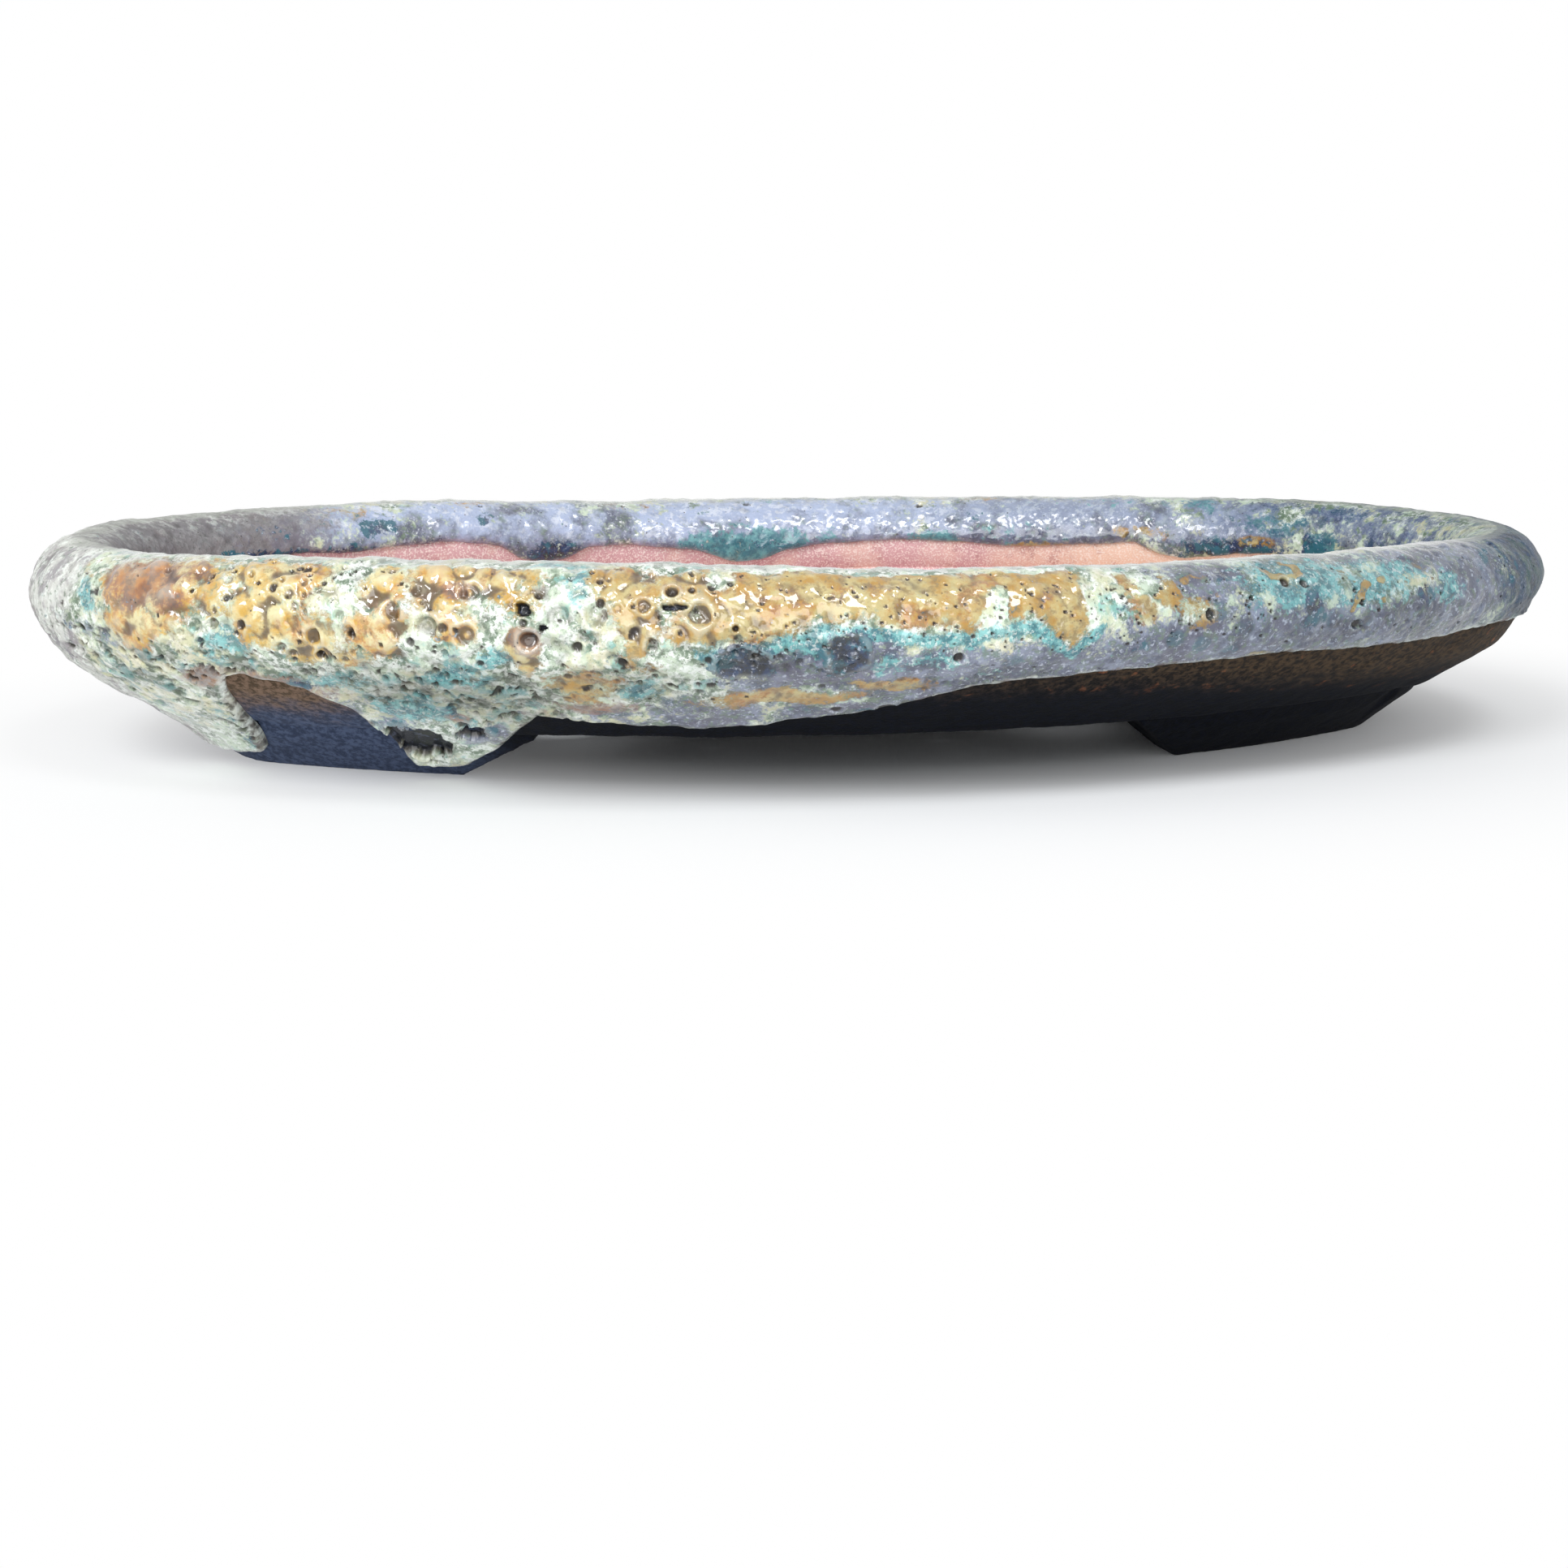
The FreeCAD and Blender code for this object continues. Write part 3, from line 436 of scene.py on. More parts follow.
# The coat ends in a rounded bead, thinner on the right where little glaze ran.
coat = {"thickness": 2.1, "bead": 2.4, "sunk": 0.35, "thinned": 1.0}
thin = coat["thinned"] * smooth(205, 250, along) * smooth(14, 4, toEdge) * (down > 0)
left = np.clip(toEdge / coat["bead"], 0, 1)
thick = coat["thickness"] - thin
bead = thick * (1 - np.sqrt(np.clip(1 - (1 - left) ** 2, 0, 1)))
quiet = smooth(0.0, 0.7, left)
lift = np.clip(lift * quiet, -1.9, 2.0)


# Mean over a few millimetres each way, to tell the hollows of the relief from its bumps.
def softened(field, acrossColumns, acrossRows):
    for reachOut, axis in ((acrossColumns, 0), (acrossRows, 1)):
        for unused in range(2):
            total = sum(np.roll(field, shift, axis) for shift in range(-reachOut, reachOut + 1))
            field = total / (2 * reachOut + 1)
    return field


# hollow and broadHollow carry painted light into the glaze colour: hollows darkened as painted shade, bump tops
# a little paler as a painted highlight. In the ochre, hollow also gives browner creases and paler domes.
hollow = np.clip(0.5 + (lift - softened(lift, 4, 5)) / 1.1, 0, 1)
broadHollow = np.clip(0.5 + (lift - softened(lift, 14, 16)) / 2.2, 0, 1)
lift = lift - thin - bead

# Unevenness of the hand-built tray, shared by every piece so that they stay in touch.
hand = {
    "turn": [0, 30, 50, 75, 90, 105, 125, 150, 180, 200, 215, 230, 245, 262, 280, 300, 330],
    "rise": [0.2, 0.7, 0.7, -0.6, -1.0, -0.9, 1.0, 0.3, 0.0, -0.5, 0.3, 0.9, 0.6, 0.0, -0.5, -0.4, 0.2],
    "leftDrawnIn": 2.8, "rightDrawnIn": 5.3,     # the rim's ends lean in over the wall
}


def handBuilt(x, y, z):
    turn = np.degrees(np.arctan2(y / oval["halfWidth"], x / oval["halfLength"])) % 360
    wave = np.interp(turn, hand["turn"] + [360], hand["rise"] + [hand["rise"][0]])
    high = smooth(14, 45, z)
    drawn = np.where(x < 0, hand["leftDrawnIn"], -hand["rightDrawnIn"])
    newX = x + drawn * smooth(120, 185, np.abs(x)) * smooth(24, 36, z)
    newX = newX + high * 0.7 * softNoise(x, y, z, 34.0, 4)
    newY = y + high * 0.7 * softNoise(x, y, z, 34.0, 5)
    newZ = z + high * (wave + 0.5 * softNoise(x, y, 0 * z, 26.0, 3))
    return newX, newY, newZ


topX, topY, topZ = handBuilt(skinX + normalX * lift, skinY + normalY * lift, skinZ + normalZ * lift)
sink = coat["thickness"] + coat["sunk"]
lowX, lowY, lowZ = handBuilt(skinX - normalX * sink, skinY - normalY * sink, skinZ - normalZ * sink)
top = np.stack([topX, topY, topZ], axis=2)
low = np.stack([lowX, lowY, lowZ], axis=2)
slope = np.cross(np.gradient(top, axis=0), np.gradient(top, axis=1))
slope /= -np.linalg.norm(slope, axis=2, keepdims=True)
print("relief done")


# A grid of columns by rows, its points put where the points array says, with a tube's two
# long edges joined and its ends closed.
def tubePiece(name, columns, rowCount, points):
    bpy.ops.object.select_all(action="DESELECT")
    bpy.ops.mesh.primitive_grid_add(x_subdivisions=columns, y_subdivisions=rowCount, size=2)
    piece = bpy.context.object
    piece.name = piece.data.name = name
    flat = np.empty(len(piece.data.vertices) * 3)
    piece.data.vertices.foreach_get("co", flat)
    flat = flat.reshape(-1, 3)
    column = np.rint((flat[:, 0] + 1) / 2 * columns).astype(int)
    row = np.rint((flat[:, 1] + 1) / 2 * rowCount).astype(int)
    piece.data.vertices.foreach_set("co", (points[column, row] * mm).ravel())
    piece.data.update()
    return piece, column, row


def closeTube(piece):
    bpy.ops.object.mode_set(mode="EDIT")
    bpy.ops.mesh.select_all(action="SELECT")
    bpy.ops.mesh.remove_doubles(threshold=1e-6)
    bpy.ops.mesh.select_all(action="DESELECT")
    bpy.ops.mesh.select_non_manifold()
    bpy.ops.mesh.fill_holes(sides=0)
    bpy.ops.mesh.select_all(action="SELECT")
    bpy.ops.mesh.normals_make_consistent(inside=False)
    bpy.ops.object.mode_set(mode="OBJECT")
    bpy.ops.object.shade_smooth()


def finishPiece(piece, slotName, material, *nodes):
    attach(piece, "root")
    if nodes:
        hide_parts(*nodes)
    piece.data.materials.clear()
    piece.data.materials.append(material)
    print(piece.name, len(piece.data.polygons))


def paint(piece, name, channels):
    layer = piece.data.color_attributes.new(name=name, type="FLOAT_COLOR", domain="POINT")
    colours = np.ones((len(piece.data.vertices), 4), np.float32)
    for number, channel in enumerate(channels):
        colours[:, number] = channel
    layer.data.foreach_set("color", colours.ravel())


# Part of the coat: some columns and rows of the grid, with a back that lies in the clay.
def coatPiece(name, columns, rowNumbers, slotName, material, node, backCount=8):
    front = rowNumbers
    back = front[np.linspace(len(front) - 1, 0, backCount + 1).astype(int)]
    surface = top[columns][:, front]
    behind = low[columns][:, back]
    behind[:, -1] = surface[:, 0]
    points = np.concatenate([surface, behind], axis=1)
    piece, column, row = tubePiece(name, points.shape[0] - 1, points.shape[1] - 1, points)
    source = np.concatenate([front, back])

    def pick(field):
        return field[columns][:, source][column, row]

    paint(piece, "pools", [pick(ochre), pick(teal), pick(violet), pick(porous)])
    paint(piece, "stains", [pick(rust), pick(navy), pick(grey), pick(rightEnd)])
    paint(piece, "marks", [pick(pit), pick(ring), pick(smooth(0.5, -0.5, down)),
                           pick(smooth(4, 0.6, toEdge))])
    paint(piece, "relief", [pick(hollow), pick(broadHollow), pick(np.clip(down / 60 + 0.5, 0, 1))])
    facing = slope[columns][:, source][column, row].copy()
    facing[(row >= len(front)) & (row < points.shape[1] - 1)] *= -1
    normals = piece.data.attributes.new("facing", "FLOAT_VECTOR", "POINT")
    normals.data.foreach_set("vector", facing.astype(np.float32).ravel())
    closeTube(piece)
    kept = np.empty(len(piece.data.vertices) * 3, np.float32)
    piece.data.attributes["facing"].data.foreach_get("vector", kept)
    piece.data.normals_split_custom_set_from_vertices(kept.reshape(-1, 3).tolist())
    piece.data.attributes.remove(piece.data.attributes["facing"])
    finishPiece(piece, slotName, material, node)
    return piece


# ---- materials
class Socket:
    # Wraps a socket, so that sums on it are written as sums and become Math nodes.
    def __init__(self, socket):
        self.socket = socket

    def node(self, kind, settings=None, inputs=None, output=0):
        tree = self.socket.id_data
        made = tree.nodes.new(kind)
        for name, value in (settings or {}).items():
            if name == "stops":
                ramp = made.color_ramp
                while len(ramp.elements) < len(value):
                    ramp.elements.new(0.5)
                for element, (place, colour) in zip(ramp.elements, value):
                    element.position, element.color = place, colour
            else:
                setattr(made, name, value)
        for name, value in (inputs or {}).items():
            if isinstance(value, Socket):
                tree.links.new(value.socket, made.inputs[name])
            else:
                made.inputs[name].default_value = value
        return Socket(made.outputs[output])

    def maths(self, operation, first, second):
        return self.node("ShaderNodeMath", {"operation": operation}, {0: first, 1: second})

    def __add__(self, other):
        return self.maths("ADD", self, other)

    def __sub__(self, other):
        return self.maths("SUBTRACT", self, other)

    def __mul__(self, other):
        return self.maths("MULTIPLY", self, other)

    def __truediv__(self, other):
        return self.maths("DIVIDE", self, other)

    def __rsub__(self, other):
        return self.maths("SUBTRACT", other, self)

    __radd__ = __add__
    __rmul__ = __mul__

    def least(self, other):
        return self.maths("MINIMUM", self, other)

    def most(self, other):
        return self.maths("MAXIMUM", self, other)

    def step(self, low, high):
        return self.node("ShaderNodeMapRange", {"interpolation_type": "SMOOTHSTEP", "clamp": True},
                         {0: self, 1: low, 2: high})

    def mix(self, first, second):
        return self.node("ShaderNodeMix", {"data_type": "RGBA"}, {0: self, 6: first, 7: second}, 2)


def colour(red, green, blue):
    linear = [((value / 255 + 0.055) / 1.055) ** 2.4 if value > 10 else value / 3294.6
              for value in (red, green, blue)]
    return (*linear, 1.0)


def newMaterial(name):
    material = bpy.data.materials.new(name)
    material.use_nodes = True
    shader = material.node_tree.nodes["Principled BSDF"]
    start = Socket(shader.inputs["Base Color"])
    place = start.node("ShaderNodeTexCoord", output="Object")

    def noise(size, detail=3.0, rough=0.55, stretch=None):
        vector = place
        if stretch:
            vector = start.node("ShaderNodeMapping", {}, {"Vector": place, "Scale": stretch})
        return start.node("ShaderNodeTexNoise", {},
                          {"Vector": vector, "Scale": 1 / (size * mm), "Detail": detail,
                           "Roughness": rough})

    def dots(size, randomness=1.0):
        return start.node("ShaderNodeTexVoronoi", {},
                          {"Vector": place, "Scale": 1 / (size * mm), "Randomness": randomness})

    def layer(name):
        attribute = start.node("ShaderNodeAttribute", {"attribute_name": name}, output="Color")
        split = attribute.node("ShaderNodeSeparateColor", {}, {0: attribute})
        parts = split.socket.node.outputs
        alpha = attribute.socket.node.outputs["Alpha"]
        return [Socket(parts[0]), Socket(parts[1]), Socket(parts[2]), Socket(alpha)]

    def link(name, value):
        material.node_tree.links.new(value.socket, shader.inputs[name])

    return material, shader, start, place, noise, dots, layer, link


glazeLook = {
    "celadon": colour(204, 220, 198), "celadonShade": colour(104, 126, 104), "milk": colour(238, 245, 238),
    "moss": colour(76, 84, 60), "mint": colour(128, 192, 184), "sand": colour(206, 192, 140),
    "gold": colour(198, 154, 50), "orange": colour(188, 110, 36), "cream": colour(214, 206, 156),
    "olive": colour(144, 124, 58), "umber": colour(88, 56, 28),
    "rustBrown": colour(164, 104, 68), "plum": colour(118, 92, 88),
    "turquoise": colour(116, 190, 190), "deepTeal": colour(36, 110, 124),
    "lavender": colour(132, 140, 162), "slate": colour(76, 82, 104), "frostGlint": colour(210, 218, 234),
    "navy": colour(28, 54, 96), "ink": colour(12, 18, 30), "pit": colour(44, 34, 26),
    "stoneLeft": colour(216, 217, 212), "lilacLeft": colour(158, 152, 158),
    "stoneRight": colour(54, 60, 78), "tealRight": colour(42, 80, 88),
    "innerBlueHighlight": colour(178, 194, 226), "innerGrey": colour(162, 166, 158),
    "purple": colour(96, 92, 114), "dusk": colour(98, 92, 102), "deepening": (0.75, 0.68, 0.54, 1.0), "coolingShade": (0.62, 0.68, 0.72, 1.0),
}


def glazeMaterial(name, haze):
    material, shader, start, place, noise, dots, layer, link = newMaterial(name)
    look = glazeLook
    ochreIn, tealIn, violetIn, porousIn = layer("pools")
    rustIn, navyIn, greyIn, rightIn = layer("stains")
    pitIn, ringIn, insideIn, edgeIn = layer("marks")
    bumpIn, broadBumpIn, fallIn = layer("relief")[:3]
    fall = (fallIn - 0.5) * 60
    width = start.node("ShaderNodeSeparateXYZ", {}, {0: place}, 0) / mm
    broad, middle, small = noise(13, 4), noise(5.2, 6, 0.62), noise(2.4, 6, 0.68)
    mottle, fleck, grain = noise(7.0, 7, 0.66), noise(1.1, 4, 0.65), noise(0.45, 2, 0.6)
    ragged = (middle - 0.5) * 1.9 + (small - 0.5) * 1.5 + (fleck - 0.5) * 0.9

    skin = mottle.step(0.42, 0.56).mix(look["celadonShade"], look["celadon"])
    skin = small.step(0.46, 0.56).mix(skin, look["milk"])
    skin = (middle.step(0.53, 0.64) * 0.75).mix(skin, look["mint"])
    skin = (broad.step(0.47, 0.6) * mottle.step(0.45, 0.56) * 0.55).mix(skin, look["sand"])
    skin = (fleck.step(0.56, 0.66) * 0.5).mix(skin, look["moss"])
    skin = (porousIn * (1 - mottle.step(0.42, 0.54)) * 0.9).mix(skin, look["moss"])
    skin = (porousIn * middle.step(0.48, 0.58) * 0.6).mix(skin, look["deepTeal"])

    violet = mottle.step(0.42, 0.58).mix(look["slate"], look["lavender"])
    violet = ((1 - middle.step(0.42, 0.5)) * 0.6).mix(violet, look["slate"])
    violet = ((1 - broad.step(0.42, 0.52)) * (1 - insideIn) * 0.5).mix(violet, look["purple"])
    violet = (small.step(0.5, 0.62) * 0.7).mix(violet, look["celadonShade"])
    # Frosty flecks: partly white crystals in the glaze, partly painted glints.
    violet = (fleck.step(0.54, 0.66) * 0.6).mix(violet, look["frostGlint"])
    # Painted highlight: a blue-white band with frosty flecks high on the inner wall, where the lamps reflect,
    # weaker to the right; the rest of the inside is darkened toward slate.
    shoulderHighlight = insideIn * (fall + (middle - 0.5) * 16).step(-21, -13) * (1 - width.step(20, 80) * 0.45)
    violet = ((insideIn - shoulderHighlight) * 0.35).mix(violet, look["slate"])
    violet = (broad.step(0.36, 0.52) * shoulderHighlight * 0.85).mix(violet, look["innerBlueHighlight"])
    violet = (small.step(0.5, 0.6) * shoulderHighlight * broad.step(0.4, 0.55) * 0.9).mix(violet, look["frostGlint"])
    skin = (violetIn + ragged).step(0.3, 0.7).mix(skin, violet)

    teal = small.step(0.42, 0.6).mix(look["deepTeal"], look["turquoise"])
    teal = (fleck.step(0.52, 0.64) * 0.6 * (1 - insideIn)).mix(teal, look["milk"])
    teal = (insideIn * 0.5).mix(teal, look["deepTeal"])
    skin = ((tealIn + ragged).step(0.32, 0.7) * 0.9).mix(skin, teal)

    ochre = middle.step(0.38, 0.62).mix(look["cream"], look["gold"])
    ochre = (broad.step(0.46, 0.6) * small.step(0.42, 0.58) * 0.8).mix(ochre, look["orange"])
    ochre = (mottle.step(0.52, 0.64) * 0.8).mix(ochre, look["cream"])
    ochre = (small.step(0.5, 0.62) * 0.75).mix(ochre, look["olive"])
    ochre = (bumpIn.step(0.5, 0.85) * 0.3).mix(ochre, look["cream"])
    ochre = ((1 - bumpIn.step(0.25, 0.5)) * 0.7).mix(ochre, look["umber"])
    deeper = ochre.node("ShaderNodeMix", {"data_type": "RGBA", "blend_type": "MULTIPLY"},
                        {0: 1.0, 6: ochre, 7: look["deepening"]}, 2)
    ochre = width.step(-110, -60).mix(ochre, deeper)
    ochreMask = (ochreIn + ragged * 0.85).step(0.34, 0.7)
    skin = (ochreMask * 0.95).mix(skin, ochre)

    rust = small.step(0.4, 0.6).mix(look["rustBrown"], look["plum"])
    skin = ((rustIn + ragged * 0.8).step(0.4, 0.9) * 0.75).mix(skin, rust)
    grey = mottle.step(0.42, 0.58).mix(look["stoneLeft"], look["lilacLeft"])
    grey = (small.step(0.5, 0.62) * 0.7).mix(grey, look["milk"])
    grey = (fleck.step(0.54, 0.66) * 0.7).mix(grey, look["celadonShade"])
    # Painted shade: at the left end the inside of the tray is darkened toward dusk.
    grey = ((fall + ragged * 10).step(2, -9) * 0.8).mix(grey, look["dusk"])
    skin = ((greyIn + ragged * 0.6).step(0.3, 0.75) * 0.92).mix(skin, grey)
    right = mottle.step(0.42, 0.58).mix(look["stoneRight"], look["tealRight"])
    right = (middle.step(0.5, 0.58) * 0.85).mix(right, look["navy"])
    right = (fleck.step(0.52, 0.64) * 0.65).mix(right, look["lavender"])
    skin = ((rightIn * (1 - insideIn * 0.55) + ragged * 0.7).step(0.25, 0.8) * 0.92).mix(skin, right)
    crest = fall.step(-6, -2) * fall.step(4.5, 1)
    skin = ((crest + ragged * 0.8).step(0.4, 0.95) * 0.5).mix(skin, look["innerGrey"])

    dark = small.step(0.42, 0.6).mix(look["ink"], look["navy"])
    dark = (middle.step(0.48, 0.58) * 0.7).mix(dark, look["deepTeal"])
    # Frosty flecks on the dark pools: partly crystals, partly painted glints.
    dark = (fleck.step(0.57, 0.66) * 0.6).mix(dark, look["frostGlint"])
    skin = ((navyIn + ragged * 1.2).step(0.45, 0.75) * 0.94).mix(skin, dark)
    edge = middle.step(0.42, 0.6).mix(look["milk"], look["umber"])
    skin = ((edgeIn + ragged * 0.7).step(0.5, 1.0) * 0.75 * (1 - insideIn)).mix(skin, edge)

    # Painted light from the relief: bump tops a little paler (painted highlight), small and broad hollows
    # darkened (painted shade).
    skin = (bumpIn.step(0.6, 0.95) * 0.15).mix(skin, look["milk"])
    shade = skin.node("ShaderNodeMix", {"data_type": "RGBA", "blend_type": "MULTIPLY"},
                      {0: 1.0, 6: skin, 7: (0.30, 0.29, 0.27, 1)}, 2)
    skin = ((1 - bumpIn.step(0.05, 0.5)) * 0.6).mix(skin, shade)
    skin = ((1 - broadBumpIn.step(0.1, 0.5)) * 0.45).mix(skin, shade)
    skin = (porousIn * (0.35 + middle.step(0.58, 0.44) * 0.5) * width.step(-148, -125)).mix(skin, shade)
    # Crater lips a little paler: a painted highlight.
    skin = (ringIn * 0.1).mix(skin, look["milk"])
    skin = (pitIn.step(0.15, 0.9) * 0.85).mix(skin, look["pit"])
    skin = (pitIn.step(0.9, 1.15) * 0.95).mix(skin, small.step(0.53, 0.68).mix(look["ink"], look["slate"]))
    spots = (1 - (dots(9) + (small - 0.5) * 0.3).step(0.18, 0.32)) * violetIn * (1 - insideIn)
    skin = (spots * 0.65).mix(skin, dark)
    speck = (1 - dots(2.1).step(0.06, 0.12)) * small.step(0.48, 0.54)
    skin = (speck * 0.8).mix(skin, look["pit"])
    # Darker and bluer towards the right and over the right end: partly a cooler glaze, partly painted shade on
    # the side away from the light.
    coolerShaded = skin.node("ShaderNodeMix", {"data_type": "RGBA", "blend_type": "MULTIPLY"},
                       {0: 1.0, 6: skin, 7: look["coolingShade"]}, 2)
    skin = (width.step(15, 90) * (1 - insideIn * 0.6) * 0.8).mix(skin, coolerShaded)
    skin = (rightIn * 0.3).mix(skin, coolerShaded)
    link("Base Color", skin)

    stony = greyIn.most(rightIn)
    rough = 0.16 + small * 0.14 + stony * 0.32 + pitIn * 0.3 + porousIn * 0.2
    link("Roughness", rough)
    rugged = 1 - ochreMask * 0.6 * (1 - insideIn)
    height = (middle * 0.5 + small * 0.7 + fleck * 0.4 + grain * 0.25) * rugged - speck * 0.6
    bump = start.node("ShaderNodeBump", {}, {"Strength": 0.8, "Distance": 0.6 * mm, "Height": height})
    link("Normal", bump)
    link("Coat Weight", 0.95 - stony * 0.85 - pitIn * 0.5 - porousIn * 0.35)
    shader.inputs["Coat Roughness"].default_value = haze
    shader.inputs["Coat IOR"].default_value = 1.7
    shader.inputs["Specular IOR Level"].default_value = 0.2
    return material


clayLook = {
    "salmon": colour(216, 174, 178), "peach": colour(238, 208, 190), "dusk": colour(180, 126, 128),
    "glint": colour(250, 238, 232), "brown": colour(74, 60, 45), "umber": colour(30, 25, 21),
    "navy": colour(10, 14, 25), "soot": colour(3, 5, 10), "ember": colour(150, 92, 62),
    "taupe": colour(122, 100, 84),
    "navyLeftLit": colour(76, 88, 114), "sootLeftLit": colour(48, 58, 80),
}


# Bare clay: pink and sparkling inside the tray, scorched brown to navy black outside, painted lighter at the
# left end as painted light.
def clayMaterial(name):
    material, shader, start, place, noise, dots, layer, link = newMaterial(name)
    look = clayLook
    broad, middle, small, grain = noise(16, 3), noise(5, 5, 0.65), noise(1.5, 5, 0.7), noise(0.5, 2)
    height = start.node("ShaderNodeSeparateXYZ", {}, {0: place}, 2) / mm
    width = start.node("ShaderNodeSeparateXYZ", {}, {0: place}, 0) / mm
    inner = layer("inside")[0]

    pink = width.step(55, 100).mix(look["salmon"], look["peach"])
    pink = (broad.step(0.45, 0.62) * 0.5).mix(pink, look["peach"])
    pink = (middle.step(0.52, 0.66) * 0.5).mix(pink, look["dusk"])
    pink = (grain.step(0.5, 0.6) * 0.8).mix(pink, look["glint"])

    # Painted light: left of the left foot's inner end the dark clay is lighter and bluer, where light falls on
    # it; the browns above go taupe there.
    leftward = 1 - width.step(-96, -80)
    level = height + leftward * 8 + width.step(40, 130) * 6 + (middle - 0.5) * 10 + (small - 0.5) * 5
    dark = small.step(0.4, 0.62).mix(look["soot"], look["navy"])
    darkLeftLit = small.step(0.4, 0.62).mix(look["sootLeftLit"], look["navyLeftLit"])
    dark = leftward.mix(dark, darkLeftLit)
    burnt = small.step(0.4, 0.6).mix(look["umber"], look["brown"])
    burnt = (middle.step(0.6, 0.68) * 0.5).mix(burnt, look["ember"])
    burnt = leftward.mix(burnt, small.step(0.4, 0.6).mix(look["brown"], look["taupe"]))
    outside = level.step(22, 31).mix(dark, burnt)
    link("Base Color", inner.step(0.3, 0.7).mix(outside, pink))
    link("Roughness", 0.5 + small * 0.3 - inner * grain.step(0.56, 0.68) * 0.25)
    bump = start.node("ShaderNodeBump", {}, {"Strength": 0.6, "Distance": 0.6 * mm,
                                            "Height": middle * 0.5 + small * 0.7 + grain * 0.4})
    link("Normal", bump)
    shader.inputs["Specular IOR Level"].default_value = 0.08
    return material


outerGlaze = glazeMaterial("crater_glaze", 0.04)
innerGlaze = glazeMaterial("pooled_glaze", 0.14)
wallClay = clayMaterial("bare_clay")
footClay = clayMaterial("scorched_clay")

# ---- glaze pieces
columnsFront = grid["frontColumns"]
third = columnsFront // 3
crownRow = grid["innerRows"]
outerRowNumbers = np.arange(crownRow, len(rows))
innerRowNumbers = np.arange(crownRow, -1, -1)
for number, word in enumerate(("left", "middle", "right")):
    coatPiece(f"coat_front_{word}", np.arange(number * third, (number + 1) * third + 1),
              outerRowNumbers, "outer_glaze", outerGlaze, "glaze_outer")
allBack = np.concatenate([np.arange(columnsFront, len(travels)), [0]])
coatPiece("coat_back", allBack, outerRowNumbers, "outer_glaze", outerGlaze, "glaze_outer")
coatPiece("lining_front", np.arange(0, columnsFront + 1), innerRowNumbers, "inner_glaze",
          innerGlaze, "glaze_inner")
coatPiece("lining_back", allBack, innerRowNumbers, "inner_glaze", innerGlaze, "glaze_inner")


# ---- clay pieces
# A ring of clay: a closed outline swept round the oval, worked by hand.
def clayRing(name, outline, spacing, columns, slotName, material, node):
    out, up = zip(*outline, outline[0])
    even, out, up, nOut, nUp = densePath(out, up, spacing, 2)
    out[-1], up[-1], nOut[-1], nUp[-1] = out[0], up[0], nOut[0], nUp[0]
    ringTravel = np.linspace(0, girth, columns + 1)
    x, y, nx, ny = (part[:, None] for part in crownAt(ringTravel))
    px, py, pz = x + nx * out, y + ny * out, up + 0 * x
    rough = (0.45 * softNoise(px, py, pz, 14.0, 71) + 0.25 * softNoise(px, py, pz, 5.0, 72)
             + 0.12 * softNoise(px, py, pz, 2.2, 73))
    px, py, pz = px + nx * nOut * rough, py + ny * nOut * rough, pz + nUp * rough
    points = np.stack(handBuilt(px, py, pz), axis=2)
    points[-1] = points[0]
    points[:, -1] = points[:, 0]
    piece, column, row = tubePiece(name, columns, len(out) - 1, points)
    inner = smooth(3, 5, up - 12.6 - 0.76 * (out + 20))[row]      # which side of the wall it is
    paint(piece, "inside", [inner, inner, inner])
    closeTube(piece)
    finishPiece(piece, slotName, material, node)
    return piece


wallOutline = [(-20, 13.0), (-20, 12.6), (-3, 23.8), (5.4, 31.9), (4.6, 33.2), (-6, 33.2),
               (-7.6, 31), (-15, 24), (-27, 21.3), (-27, 20)]
clayRing("wall", wallOutline, 0.9, 780, "bare_clay", wallClay, "wall_ring")
rimTurns = np.radians(np.arange(-70, 251, 10))
rimOutline = [(-crownInset + 10 * math.cos(turn), 40.2 + 10 * math.sin(turn)) for turn in rimTurns]
clayRing("rim_coil_rolled", rimOutline, 1.0, 780, "bare_clay", wallClay, "rim_coil")


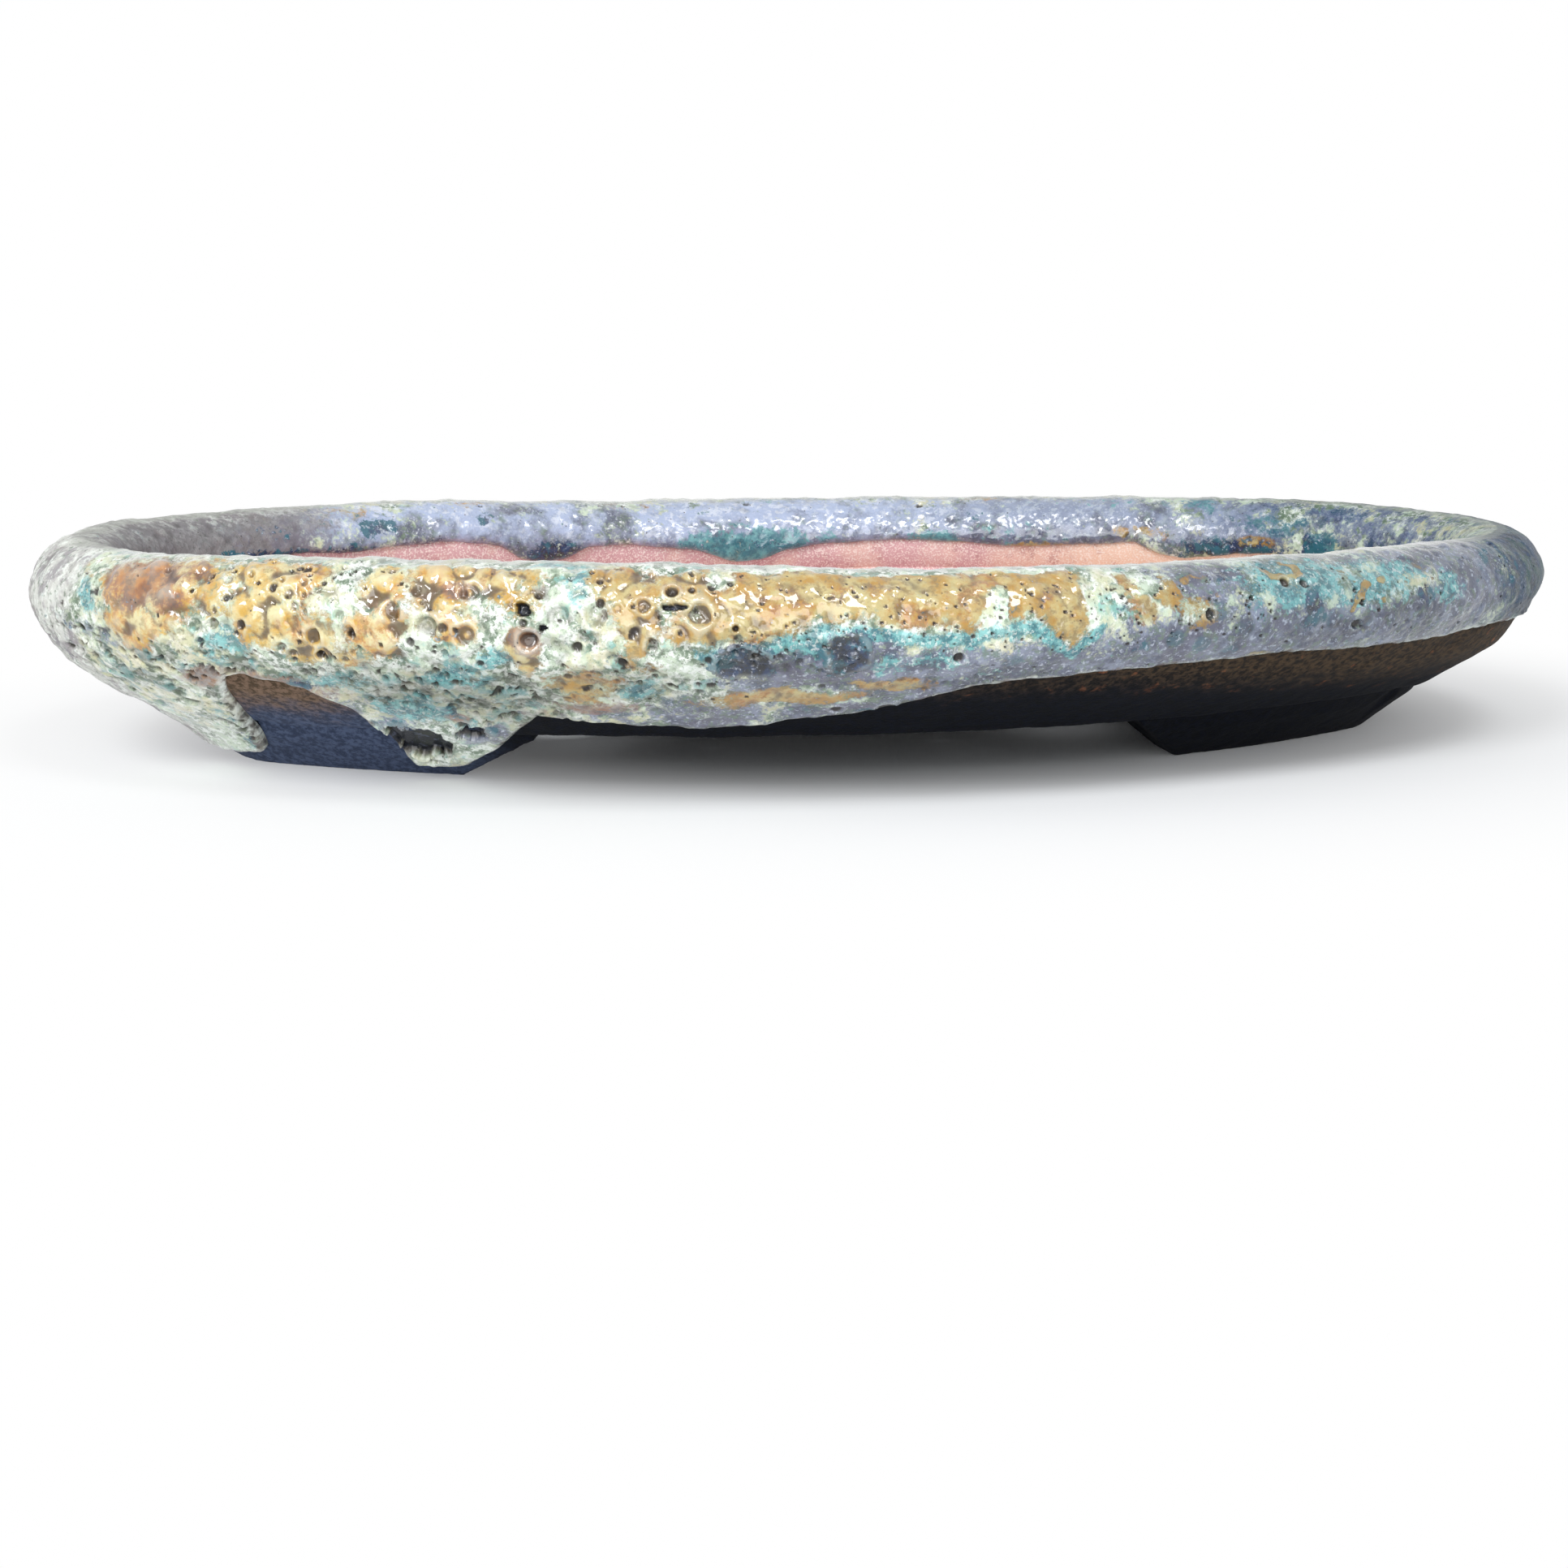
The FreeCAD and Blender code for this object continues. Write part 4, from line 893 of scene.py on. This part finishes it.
# Slabs are copies of the solids, merged, made even, softened and worked by hand.
def claySlab(name, node, voxel, lengthened, slotName, material, inside):
    bpy.ops.object.select_all(action="DESELECT")
    source = bpy.data.objects[node]
    piece = source.copy()
    piece.data = source.data.copy()
    piece.name = piece.data.name = name
    bpy.context.collection.objects.link(piece)
    piece.parent = None
    piece.matrix_world = Matrix.Identity(4)
    piece.hide_render = False
    bpy.context.view_layer.objects.active = piece
    piece.select_set(True)
    bpy.ops.object.mode_set(mode="EDIT")
    bpy.ops.mesh.select_all(action="SELECT")
    bpy.ops.mesh.remove_doubles(threshold=1e-6)
    bpy.ops.object.mode_set(mode="OBJECT")
    highest = max(vertex.co.z for vertex in piece.data.vertices)
    for vertex in piece.data.vertices:
        if vertex.co.z > highest - 1e-5:
            vertex.co.z += lengthened * mm
    remesh = piece.modifiers.new("even", "REMESH")
    remesh.mode = "VOXEL"
    remesh.voxel_size = voxel * mm
    bpy.ops.object.modifier_apply(modifier=remesh.name)
    ease = piece.modifiers.new("ease", "SMOOTH")
    ease.factor, ease.iterations = 0.5, 3
    bpy.ops.object.modifier_apply(modifier=ease.name)
    flat = np.empty(len(piece.data.vertices) * 3)
    piece.data.vertices.foreach_get("co", flat)
    x, y, z = (flat.reshape(-1, 3) / mm).T
    normals = np.empty(len(flat))
    piece.data.vertices.foreach_get("normal", normals)
    normals = normals.reshape(-1, 3)
    rough = (0.35 * softNoise(x, y, z, 12.0, 81) + 0.2 * softNoise(x, y, z, 4.0, 82)
             + 0.1 * softNoise(x, y, z, 2.0, 83))
    rough = np.where(z < 0.8, np.minimum(rough, 0), rough)     # soles stay on the bench
    x, y, z = x + normals[:, 0] * rough, y + normals[:, 1] * rough, z + normals[:, 2] * rough
    z = np.maximum(z, 0.02)
    piece.data.vertices.foreach_set("co", (np.stack([x, y, z], axis=1) * mm).ravel())
    piece.data.update()
    inner = smooth(20, 21, z) * inside
    paint(piece, "inside", [inner, inner, inner])
    bpy.ops.object.shade_smooth()
    finishPiece(piece, slotName, material, node)
    return piece


claySlab("floor", "floor_slab", 1.5, 0.0, "bare_clay", wallClay, 1.0)
for end in ("left", "right"):
    for side in ("front", "back"):
        claySlab(f"{side}_{end}_foot", f"foot_{side}_{end}", 0.8, 1.6, "foot_clay", footClay, 0.0)
print("clay pieces done")

# Camera: the tray's centre lies a little right of and above the middle of the picture.
view = {"distance": 0.560, "elevation": 10.76, "yaw": 11.91, "roll": 0.51, "lens": 50.68,
        "shiftX": -0.02536, "shiftY": -0.03364}
elevation, yaw = math.radians(view["elevation"]), math.radians(view["yaw"])
eye = Vector((-math.sin(yaw) * math.cos(elevation), -math.cos(yaw) * math.cos(elevation),
              math.sin(elevation))) * view["distance"]
bpy.ops.object.camera_add(location=eye)
camera = bpy.context.object
aim = (-eye).to_track_quat("-Z", "Y").to_matrix().to_4x4()
camera.matrix_world = Matrix.Translation(eye) @ aim @ Matrix.Rotation(math.radians(view["roll"]), 4, "Z")
camera.data.lens = view["lens"]
camera.data.shift_x, camera.data.shift_y = view["shiftX"], view["shiftY"]
bpy.context.scene.camera = camera

# Bench: pale, and glowing white by emission away from the tray: a white backdrop far off, and painted light
# close by that lifts the tray's shadow.
bpy.ops.object.select_all(action="DESELECT")
bpy.ops.mesh.primitive_plane_add(size=12)
bench = bpy.context.object
bench.name = "bench"
benchMaterial, shader, start, place, noise, dots, layer, link = newMaterial("bench_paper")
shader.inputs["Base Color"].default_value = colour(244, 247, 250)
shader.inputs["Roughness"].default_value = 0.7
drawn = start.node("ShaderNodeVectorMath", {"operation": "MULTIPLY_ADD"},
                   {0: place, 1: (0.7, 1, 0), 2: (-0.015, -0.015, 0)})
far = start.node("ShaderNodeVectorMath", {"operation": "LENGTH"}, {0: drawn}, "Value")
glowWhite = start.node("ShaderNodeEmission", {}, {"Color": (1, 1, 1, 1), "Strength": 1.0})
glowFaded = start.node("ShaderNodeMixShader", {}, {0: far.step(0.055, 0.20),
                                              1: Socket(shader.outputs[0]), 2: glowWhite})
benchTree = benchMaterial.node_tree
benchTree.links.new(glowFaded.socket, benchTree.nodes["Material Output"].inputs["Surface"])
bench.data.materials.append(benchMaterial)

world = bpy.data.worlds.new("studio")
bpy.context.scene.world = world
world.use_nodes = True
sky = Socket(world.node_tree.nodes["Background"].inputs["Strength"])
rays = sky.node("ShaderNodeLightPath", output="Is Camera Ray")
glossy = Socket(rays.socket.node.outputs["Is Glossy Ray"])
clear = Socket(rays.socket.node.outputs["Is Transmission Ray"])
backdrop = rays.most(glossy).most(clear)
world.node_tree.nodes["Background"].inputs["Color"].default_value = (1, 1, 1, 1)
world.node_tree.links.new((0.24 + backdrop * 0.76).socket,
                          world.node_tree.nodes["Background"].inputs["Strength"])

lamps = {
    "window": {"place": (-0.60, -0.75, 0.80), "size": 0.40, "power": 8.0},
    "over": {"place": (0.15, -0.62, 0.95), "size": 0.32, "power": 3.5},
    "front": {"place": (-0.25, -1.12, 0.36), "size": 0.8, "power": 6},
}
for name, lamp in lamps.items():
    bpy.ops.object.light_add(type="AREA", location=lamp["place"])
    light = bpy.context.object
    light.name = name
    light.data.energy, light.data.size = lamp["power"], lamp["size"]
    aimed = Vector((0, 0, 0.03)) - light.location
    light.rotation_euler = aimed.to_track_quat("-Z", "Y").to_euler()
bpy.context.scene.view_settings.view_transform = "Standard"
